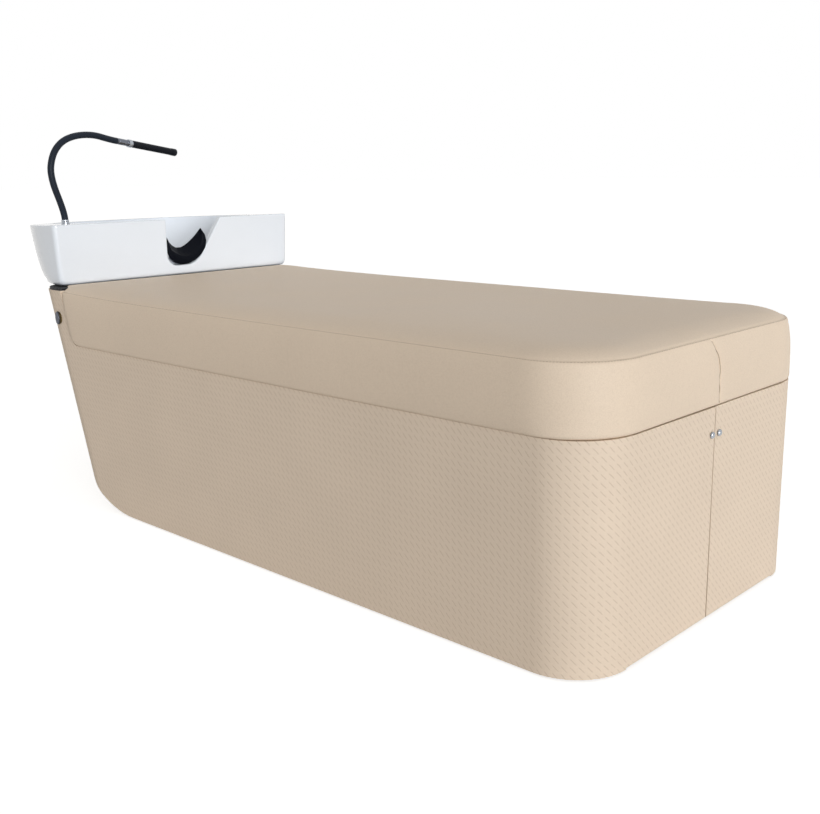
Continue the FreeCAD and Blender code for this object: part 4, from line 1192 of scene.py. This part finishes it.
def material_named(name, build, *values, **settings):
    """The material of that name, built once."""
    if name not in bpy.data.materials:
        build(*values, **settings)
    return bpy.data.materials[name]


def chrome():
    colours, _, _ = bed()
    return material_named("bright_chrome", metal_material, "bright_chrome", colours.chrome, 0.09)


class BED_OT_stage(bpy.types.Operator):
    """Floor, white surroundings, lamps and the camera"""

    bl_idname = "bed.stage"
    bl_label = "Stage"

    def execute(self, context):
        _, _, stage = bed()
        context.scene.view_settings.view_transform = "Standard"
        self.floor(stage)
        self.surroundings(context, stage)
        self.lamp("key_light", stage.key, stage.key_from, math.radians(26))
        self.lamp("fill_light", stage.fill, (-0.35, 0.1, 0.9), math.radians(120))
        self.camera(context, stage)
        return {"FINISHED"}

    def floor(self, stage):
        reach = 60.0
        mesh = mesh_of("floor", [(-reach, -reach, 0), (reach, -reach, 0), (reach, reach, 0),
                                 (-reach, reach, 0)], [(0, 1, 2, 3)])
        material, tree, shader = new_material("pale_floor", 0.8, specular_ior_level=0.0)
        shader["Base Color"].default_value = (0.60, 0.60, 0.60, 1)
        shader["Emission Color"].default_value = (1, 1, 1, 1)
        tree.feed(shader["Emission Strength"],
                  tree.math("MULTIPLY", self.seen(tree), stage.floor_lift))
        add_piece("floor", mesh, material)

    def seen(self, tree):
        """1 for rays that come from the camera, a reflection or clear glass."""
        rays = tree.add("LightPath").outputs
        shown = tree.math("MAXIMUM", rays["Is Camera Ray"], rays["Is Glossy Ray"])
        return tree.math("MAXIMUM", shown, rays["Is Transmission Ray"])

    def surroundings(self, context, stage):
        world = bpy.data.worlds.new("white_surroundings")
        world.use_nodes = True
        tree = Tree(world.node_tree)
        soft = tree.add("Background", {"Color": (1.0, 0.965, 0.915, 1), "Strength": stage.around})
        white = tree.add("Background", {"Color": (1, 1, 1, 1), "Strength": 1.0})
        mixed = tree.add("MixShader")
        tree.feed(mixed.inputs[0], self.seen(tree))
        tree.feed(mixed.inputs[1], soft.outputs[0])
        tree.feed(mixed.inputs[2], white.outputs[0])
        output = tree.add("OutputWorld")
        tree.feed(output.inputs["Surface"], mixed.outputs[0])
        context.scene.world = world

    def lamp(self, name, strength, place, spread):
        data = bpy.data.lights.new(name, "SUN")
        data.energy = strength
        data.angle = spread
        lamp = bpy.data.objects.new(name, data)
        lamp.rotation_mode = "QUATERNION"
        lamp.rotation_quaternion = Vector(place).to_track_quat("Z", "Y")
        bpy.context.scene.collection.objects.link(lamp)

    def camera(self, context, stage):
        data = bpy.data.cameras.new("camera")
        data.lens = stage.lens
        camera = bpy.data.objects.new("camera", data)
        context.scene.collection.objects.link(camera)
        ahead = Vector((math.sin(stage.turn) * math.cos(stage.tilt),
                        math.cos(stage.turn) * math.cos(stage.tilt), -math.sin(stage.tilt)))
        right = ahead.cross(Vector((0, 0, 1))).normalized()
        up = right.cross(ahead)
        rolled_right = right * math.cos(stage.roll) + up * math.sin(stage.roll)
        rolled_up = up * math.cos(stage.roll) - right * math.sin(stage.roll)
        turn = Matrix((rolled_right, rolled_up, -ahead)).transposed()
        camera.matrix_world = Matrix.Translation(stage.camera_place) @ turn.to_4x4()
        data.clip_start = 0.05
        data.clip_end = 200.0
        context.scene.camera = camera


class BED_OT_cover(bpy.types.Operator):
    """Woven cover of the base and its two doors"""

    bl_idname = "bed.cover"
    bl_label = "Base cover"

    def execute(self, context):
        colours, sizes, _ = bed()
        cloth = material_named("woven_cover", fabric_material, colours, sizes)
        fabric_piece("woven_base_cover", "base_cover", "base", cloth, sizes)
        for side in ("left", "right"):
            fabric_piece("woven_door_cover_" + side, "door_cover_" + side, "door_" + side, cloth,
                         sizes)
        return {"FINISHED"}


class BED_OT_cushion(bpy.types.Operator):
    """Vinyl cushion with its seams and stitches"""

    bl_idname = "bed.cushion"
    bl_label = "Cushion"

    def execute(self, context):
        colours, sizes, _ = bed()
        vinyl = material_named("stitched_vinyl", vinyl_material, "stitched_vinyl", colours.vinyl)
        points, faces, pins = cushion_mesh(sizes)
        piece = add_piece("vinyl_cushion", mesh_of("vinyl_cushion", points, faces), vinyl)
        filled(piece, pins, sizes.puff)
        subdivided(piece, 1)
        riding(piece, "base", "cushion_vinyl", "cushion")
        self.sew(piece, colours, sizes)
        return {"FINISHED"}

    def sew(self, piece, colours, sizes):
        """The row of stitches just below the top seam."""
        depsgraph = bpy.context.evaluated_depsgraph_get()
        surface = BVHTree.FromObject(piece, depsgraph)
        _, _, _, low = cushion_place()
        angle = math.radians(52)
        inset = sizes.seam_round * (1 - math.cos(angle))
        height = sizes.seam_height - sizes.seam_round * (1 - math.sin(angle))
        shares = np.linspace(0, 1, 200)
        runs = cushion_runs(sizes.bulge + inset, 0.3 * inset, height, sizes, shares, shares)
        loop = np.concatenate([line[:-1] for line in runs] + [runs[0][:1]])
        line = np.column_stack([loop, low + lifted(loop[:, 1], height, sizes)])
        thread = material_named("sewing_thread", thread_material, colours)
        row = add_piece("cushion_stitches", stitches("cushion_stitches", line, surface, sizes),
                        thread)
        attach(row, "base")
        self.sew_foot_seam_shade(surface, low, thread)

    def sew_foot_seam_shade(self, surface, low, thread):
        """Dark thread that closes the seam on the foot border and paints the seam's shade line."""
        _, near, _, _ = cushion_place()
        spots = []
        for height in np.linspace(0.004, 0.1255, 14):
            spot = Vector((foot_seam(height), near, low + height))
            spots.append(surface.find_nearest(spot)[0])
        # Painted shade: the dark thread stands for the shaded line of the seam
        seam = add_piece("foot_seam_shade_thread",
                         tube_line("foot_seam_shade_thread", spots, FOOT_THREAD, sides=8), thread)
        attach(seam, "base")


class BED_OT_basin(bpy.types.Operator):
    """Glazed basin, its black deck and what carries it"""

    bl_idname = "bed.basin"
    bl_label = "Basin"

    def execute(self, context):
        colours, sizes, _ = bed()
        glaze = material_named("white_glaze", glaze_material, colours)
        piece = remeshed("basin", "glazed_basin", sizes.glaze_voxel, 9)
        shape_basin(piece.data)
        add_material(piece, glaze)
        riding(piece, "base", "basin_glaze", "basin")
        deck = moulded_material("deck_laminate", colours.black, 0.5, scale=420.0, strength=0.2,
                                dust=0.01, specular_ior_level=0.12)
        dress(deck, "head_deck")
        dress(moulded_material("plate_paint", colours.paint, 0.5, scale=300.0, strength=0.3),
              "basin_support")
        dress(moulded_material("gasket_rubber", colours.rubber, 0.7), "basin_gasket")
        dress(metal_material("bolt_steel", colours.steel, 0.35), "basin_bolts")
        return {"FINISHED"}


# How far the glaze is drawn away from the CAD basin: foot of the skirt, right end, back, and the
# right flank and the floor of the neck cut
SKIRT_DROP = 0.0038
END_REACH = 0.007
BACK_REACH = 0.012
FLANK_REACH = 0.020
CUT_FLOOR_RAISE = 0.0035


def shape_basin(mesh):
    """Draws the glaze to the photographed outline: skirt, back, right end and neck cut."""
    low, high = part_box("basin")
    points = places(mesh)
    x, y, z = points.T
    depth = y - low.y
    rise = ramp(z, low.z, high.z)
    at_foot = 1 - ramp(z, low.z, low.z + 0.035)
    skirt = np.maximum(ramp(depth, 0.018, 0.010), ramp(np.abs(x), 0.304, 0.316))
    flank = ramp(x, 0.05, 0.09) * ramp(x, 0.36, 0.14)
    in_front = 1 - ramp(depth, 0.030, 0.060)
    moved_x = x + FLANK_REACH * flank * in_front * ramp(rise, 0.36, 1.0)
    moved_x += END_REACH * ramp(x, 0.30, high.x)
    # The floor of the neck cut is found on the widened shape
    cut_floor = (ramp(np.abs(moved_x - 0.020), 0.100, 0.070) * ramp(z, 0.626, 0.608)
                 * ramp(z, 0.580, 0.592))
    moved_y = y + BACK_REACH * (1 - rise) * ramp(depth, 0.03, 0.13)
    moved_z = z - SKIRT_DROP * at_foot * skirt + CUT_FLOOR_RAISE * cut_floor * in_front
    set_places(mesh, np.column_stack([moved_x, moved_y, moved_z]))


def add_material(piece, material):
    """One material and smooth shading for a remeshed piece."""
    piece.data.materials.clear()
    piece.data.materials.append(material)
    piece.data.polygons.foreach_set("material_index", [0] * len(piece.data.polygons))
    smoothed(piece.data)


class BED_OT_neck_rest(bpy.types.Operator):
    """Black saddle in the cut of the basin"""

    bl_idname = "bed.neck_rest"
    bl_label = "Neck rest"

    def execute(self, context):
        colours, sizes, _ = bed()
        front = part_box("neck_rest")[0].y
        mesh = rest_mesh("soft_neck_rest", front + sizes.rest_step, sizes)
        foam = moulded_material("neck_rest_foam", colours.black, 0.42, scale=900.0, strength=0.18,
                                dust=0.005, specular_ior_level=0.06)
        piece = add_piece("soft_neck_rest", mesh, foam)
        subdivided(piece, 2)
        riding(piece, "neck_rest", "neck_rubber", "neck_rest")
        return {"FINISHED"}


class BED_OT_hose(bpy.types.Operator):
    """Gooseneck hose with its foot, coupling, ring and spout"""

    bl_idname = "bed.hose"
    bl_label = "Gooseneck hose"

    def execute(self, context):
        colours, sizes, _ = bed()
        black = moulded_material("matt_rubber", colours.hose, 0.40, scale=1100.0, strength=0.10,
                                 dust=0.01, specular_ior_level=0.12)
        route = [hose_place(*point) for point in HOSE_ROUTE]
        hose = add_piece("soft_gooseneck_hose",
                         tube_line("soft_gooseneck_hose", route, sizes.hose), black)
        hose.data.set_sharp_from_angle(angle=math.radians(60))
        riding(hose, "gooseneck", "hose_rubber", "gooseneck_hose")
        self.foot()
        self.end_pieces(route[-1], colours)
        return {"FINISHED"}

    def foot(self):
        """Swivel nut with eased edges on the hose's foot ring."""
        low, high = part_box("swivel_nut")
        middle = (low + high) / 2
        radius = (high.x - low.x) / 2
        tall = high.z - low.z
        nut = [(0, radius * 0.52, 0), (0, radius, 0.0008), (tall * 0.30, radius, 0.0004),
               (tall * 0.36, radius * 0.95, 0.0004), (tall * 0.44, radius * 0.95, 0.0004),
               (tall * 0.50, radius, 0.0004), (tall, radius, 0.0011), (tall, 0, 0)]
        mesh = turned("turned_swivel_nut", nut, (middle.x, middle.y, low.z), (0, 0, 1))
        riding(add_piece("turned_swivel_nut", mesh, chrome()), "gooseneck", "chrome",
               "swivel_nut")
        dress(chrome(), "hose_foot")

    def end_pieces(self, start, colours):
        """Coupling, its turning ring and the spout, in line with each other."""
        along = (hose_place(*SPOUT_TIP) - start).normalized()
        reach = (hose_place(*SPOUT_TIP) - start).length
        outer = 0.0086
        waist = 0.0076
        sleeve = [(0, 0, 0), (0, outer * 0.97, 0.0006), (0.003, outer * 0.97, 0.0003),
                  (0.0036, outer * 0.90, 0.0003), (0.0052, outer * 0.90, 0.0003),
                  (0.0058, outer, 0.0005), (0.0300, outer, 0.0005), (0.0312, outer * 0.93, 0.0003),
                  (0.0326, outer * 0.93, 0.0003), (0.0336, outer, 0.0004), (0.038, outer, 0.0004),
                  (0.038, waist, 0.0002), (0.050, waist, 0.0002), (0.050, outer, 0.0004),
                  (0.054, outer, 0.0006), (0.054, 0, 0)]
        # Painted reflection: the sleeve's chrome is darkened to stand for the dark surroundings that
        # it reflects
        shaded = metal_material("reflection_darkened_sleeve_chrome", colours.coupling, 0.14, amount=0.12)
        coupling = add_piece("turned_hose_coupling",
                             turned("turned_hose_coupling", sleeve, start, along), shaded)
        riding(coupling, "gooseneck", "chrome", "hose_coupling")
        ring_start = 0.0383
        ring_end = 0.0497
        bore = 0.00768
        ring = [(ring_start, bore, 0), (ring_start, 0.0108, 0.0012),
                (ring_start + 0.0024, 0.0108, 0), (ring_end - 0.0024, 0.0108, 0),
                (ring_end, 0.0108, 0.0012), (ring_end, bore, 0)]
        collar = turned("turned_flow_collar", ring, start, along, steps=144, ribs=24,
                        rib_depth=0.0005, rib_rows=(ring_start + 0.002, ring_end - 0.002))
        riding(add_piece("turned_flow_collar", collar, chrome()), "flow_collar", "chrome",
               "flow_collar")
        body = 0.0098
        tip = [(0.054, 0, 0), (0.054, body, 0.0012), (reach - 0.020, body, 0.002),
               (reach - 0.014, body * 1.07, 0.002), (reach, body * 1.07, 0.0016),
               (reach, body * 0.66, 0.0006), (reach - 0.020, body * 0.62, 0),
               (reach - 0.022, 0, 0)]
        glossy = moulded_material("spout_plastic", colours.spout, 0.32, scale=1100.0,
                                  strength=0.06, dust=0.005, specular_ior_level=0.12)
        spout = add_piece("turned_spout", turned("turned_spout", tip, start, along), glossy)
        riding(spout, "gooseneck", "spout_black", "spout")


class BED_OT_knobs(bpy.types.Operator):
    """Domed knobs of the doors and the water knob"""

    bl_idname = "bed.knobs"
    bl_label = "Knobs"

    def execute(self, context):
        for side in ("left", "right"):
            self.ball("door_knob_" + side, "door_" + side)
        self.disc()
        return {"FINISHED"}

    def ball(self, node, body):
        """Low domed knob on a narrower collar."""
        low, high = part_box(node)
        middle = (low + high) / 2
        radius = (high.z - low.z) / 2
        collar = 0.0012
        dome = 0.0048
        profile = [(0, 0, 0), (0, radius * 0.70, 0.0002), (collar, radius * 0.70, 0.0002),
                   (collar, radius * 0.96, 0.0003)]
        for step in range(21):
            angle = math.pi / 2 * step / 20
            profile.append((collar + 0.0004 + dome * math.sin(angle), radius * math.cos(angle), 0))
        mesh = turned("turned_" + node, profile, (middle.x, high.y, middle.z), (0, -1, 0))
        riding(add_piece("turned_" + node, mesh, chrome()), body, "chrome", node)

    def disc(self):
        """Water knob: a dished oval with an eased rim and a finely ribbed edge."""
        colours, _, _ = bed()
        low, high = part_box("water_knob")
        middle = (low + high) / 2
        radius = (high.z - low.z) / 2
        thick = 0.0055
        spindle = 0.004
        reach = high.x - low.x
        profile = [(0, 0, 0), (0.0003, radius * 0.55, 0.003), (0, radius * 0.82, 0.002),
                   (0.0002, radius - 0.001, 0.0009), (0.0014, radius, 0.0005),
                   (thick - 0.0008, radius, 0.0004), (thick, radius - 0.0007, 0.0004),
                   (thick, spindle, 0.0002), (reach, spindle, 0.0004), (reach, 0, 0)]
        mesh = turned("turned_water_knob", profile, (low.x, middle.y, middle.z), (1, 0, 0),
                      steps=192, ribs=48, rib_depth=0.0004, rib_rows=(0.0013, thick - 0.0007))
        points = places(mesh)
        on_disc = points[:, 0] < low.x + thick + 0.0001
        share = (high.y - low.y) / (high.z - low.z)
        points[on_disc, 1] = middle.y + (points[on_disc, 1] - middle.y) * share
        set_places(mesh, points)
        # Painted reflection: the chrome's colour is darkened to stand for the dark surroundings that
        # it reflects
        metal = metal_material("reflection_darkened_chrome", colours.dark_chrome, 0.16, amount=0.14)
        riding(add_piece("turned_water_knob", mesh, metal), "water_knob", "dark_chrome",
               "water_knob")


class BED_OT_boards(bpy.types.Operator):
    """Boards, door panels, hinges, catches and glides"""

    bl_idname = "bed.boards"
    bl_label = "Boards and fittings"

    def execute(self, context):
        colours, _, _ = bed()
        wood = board_material("plywood", colours.wood)
        dress(wood, "floor_board", "foot_corner_left", "foot_corner_right", "head_wall",
              "top_board", "bulkhead", "hinge_batten_left", "hinge_batten_right",
              "foot_door_left", "foot_door_right", "cushion_board")
        beige = vinyl_material("beige_facing", colours.vinyl)
        dress(beige, "upstand_front", "side_wall_left", "side_wall_right")
        steel = metal_material("zinc_steel", colours.steel, 0.30, amount=0.2)
        dress(steel, "hinge_cups_left", "hinge_cups_right", "hinge_arms_left",
              "hinge_arms_right", "strike_plate_left", "strike_plate_right")
        dress(moulded_material("magnet_plastic", colours.plastic, 0.5), "catch_magnets")
        dress(moulded_material("glide_nylon", colours.black, 0.55), "glide_feet")
        return {"FINISHED"}


class BED_OT_plumbing(bpy.types.Operator):
    """Drain, waste, water valve and its hoses"""

    bl_idname = "bed.plumbing"
    bl_label = "Plumbing"

    def execute(self, context):
        colours, _, _ = bed()
        dress(chrome(), "drain_flange", "drain_strainer")
        dress(moulded_material("pipe_plastic", colours.plastic, 0.38, strength=0.12),
              "drain_pipe", "waste_pipe", "waste_trap")
        dress(metal_material("yellow_brass", colours.brass, 0.28, amount=0.2), "water_valve",
              "cold_inlet", "hot_inlet")
        dress(moulded_material("water_hose_rubber", colours.rubber, 0.6, scale=800.0),
              "cold_hose", "hot_hose", "outlet_hose")
        return {"FINISHED"}


class BED_PT_panel(bpy.types.Panel):
    """Lists the steps that dress the bed"""

    bl_idname = "BED_PT_panel"
    bl_label = "Hair Washing Bed"
    bl_space_type = "VIEW_3D"
    bl_region_type = "UI"
    bl_category = "Washing Bed"

    def draw(self, context):
        layout = self.layout
        for step in STEPS:
            layout.operator(step.bl_idname)
        for group in (context.scene.bed_colours, context.scene.bed_sizes,
                      context.scene.bed_stage):
            box = layout.box()
            for name in group.__annotations__:
                box.prop(group, name)


STEPS = (BED_OT_stage, BED_OT_cover, BED_OT_cushion, BED_OT_basin, BED_OT_neck_rest,
         BED_OT_hose, BED_OT_knobs, BED_OT_boards, BED_OT_plumbing)
GROUPS = {"bed_colours": BedColours, "bed_sizes": BedSizes, "bed_stage": StageSettings}


def register():
    for kind in (*GROUPS.values(), *STEPS, BED_PT_panel):
        bpy.utils.register_class(kind)
    for name, kind in GROUPS.items():
        setattr(bpy.types.Scene, name, PointerProperty(type=kind))


def unregister():
    for name in GROUPS:
        delattr(bpy.types.Scene, name)
    for kind in reversed((*GROUPS.values(), *STEPS, BED_PT_panel)):
        bpy.utils.unregister_class(kind)


def main():
    register()
    for step in STEPS:
        group, name = step.bl_idname.split(".")
        getattr(getattr(bpy.ops, group), name)()


if __name__ == "__main__":
    main()
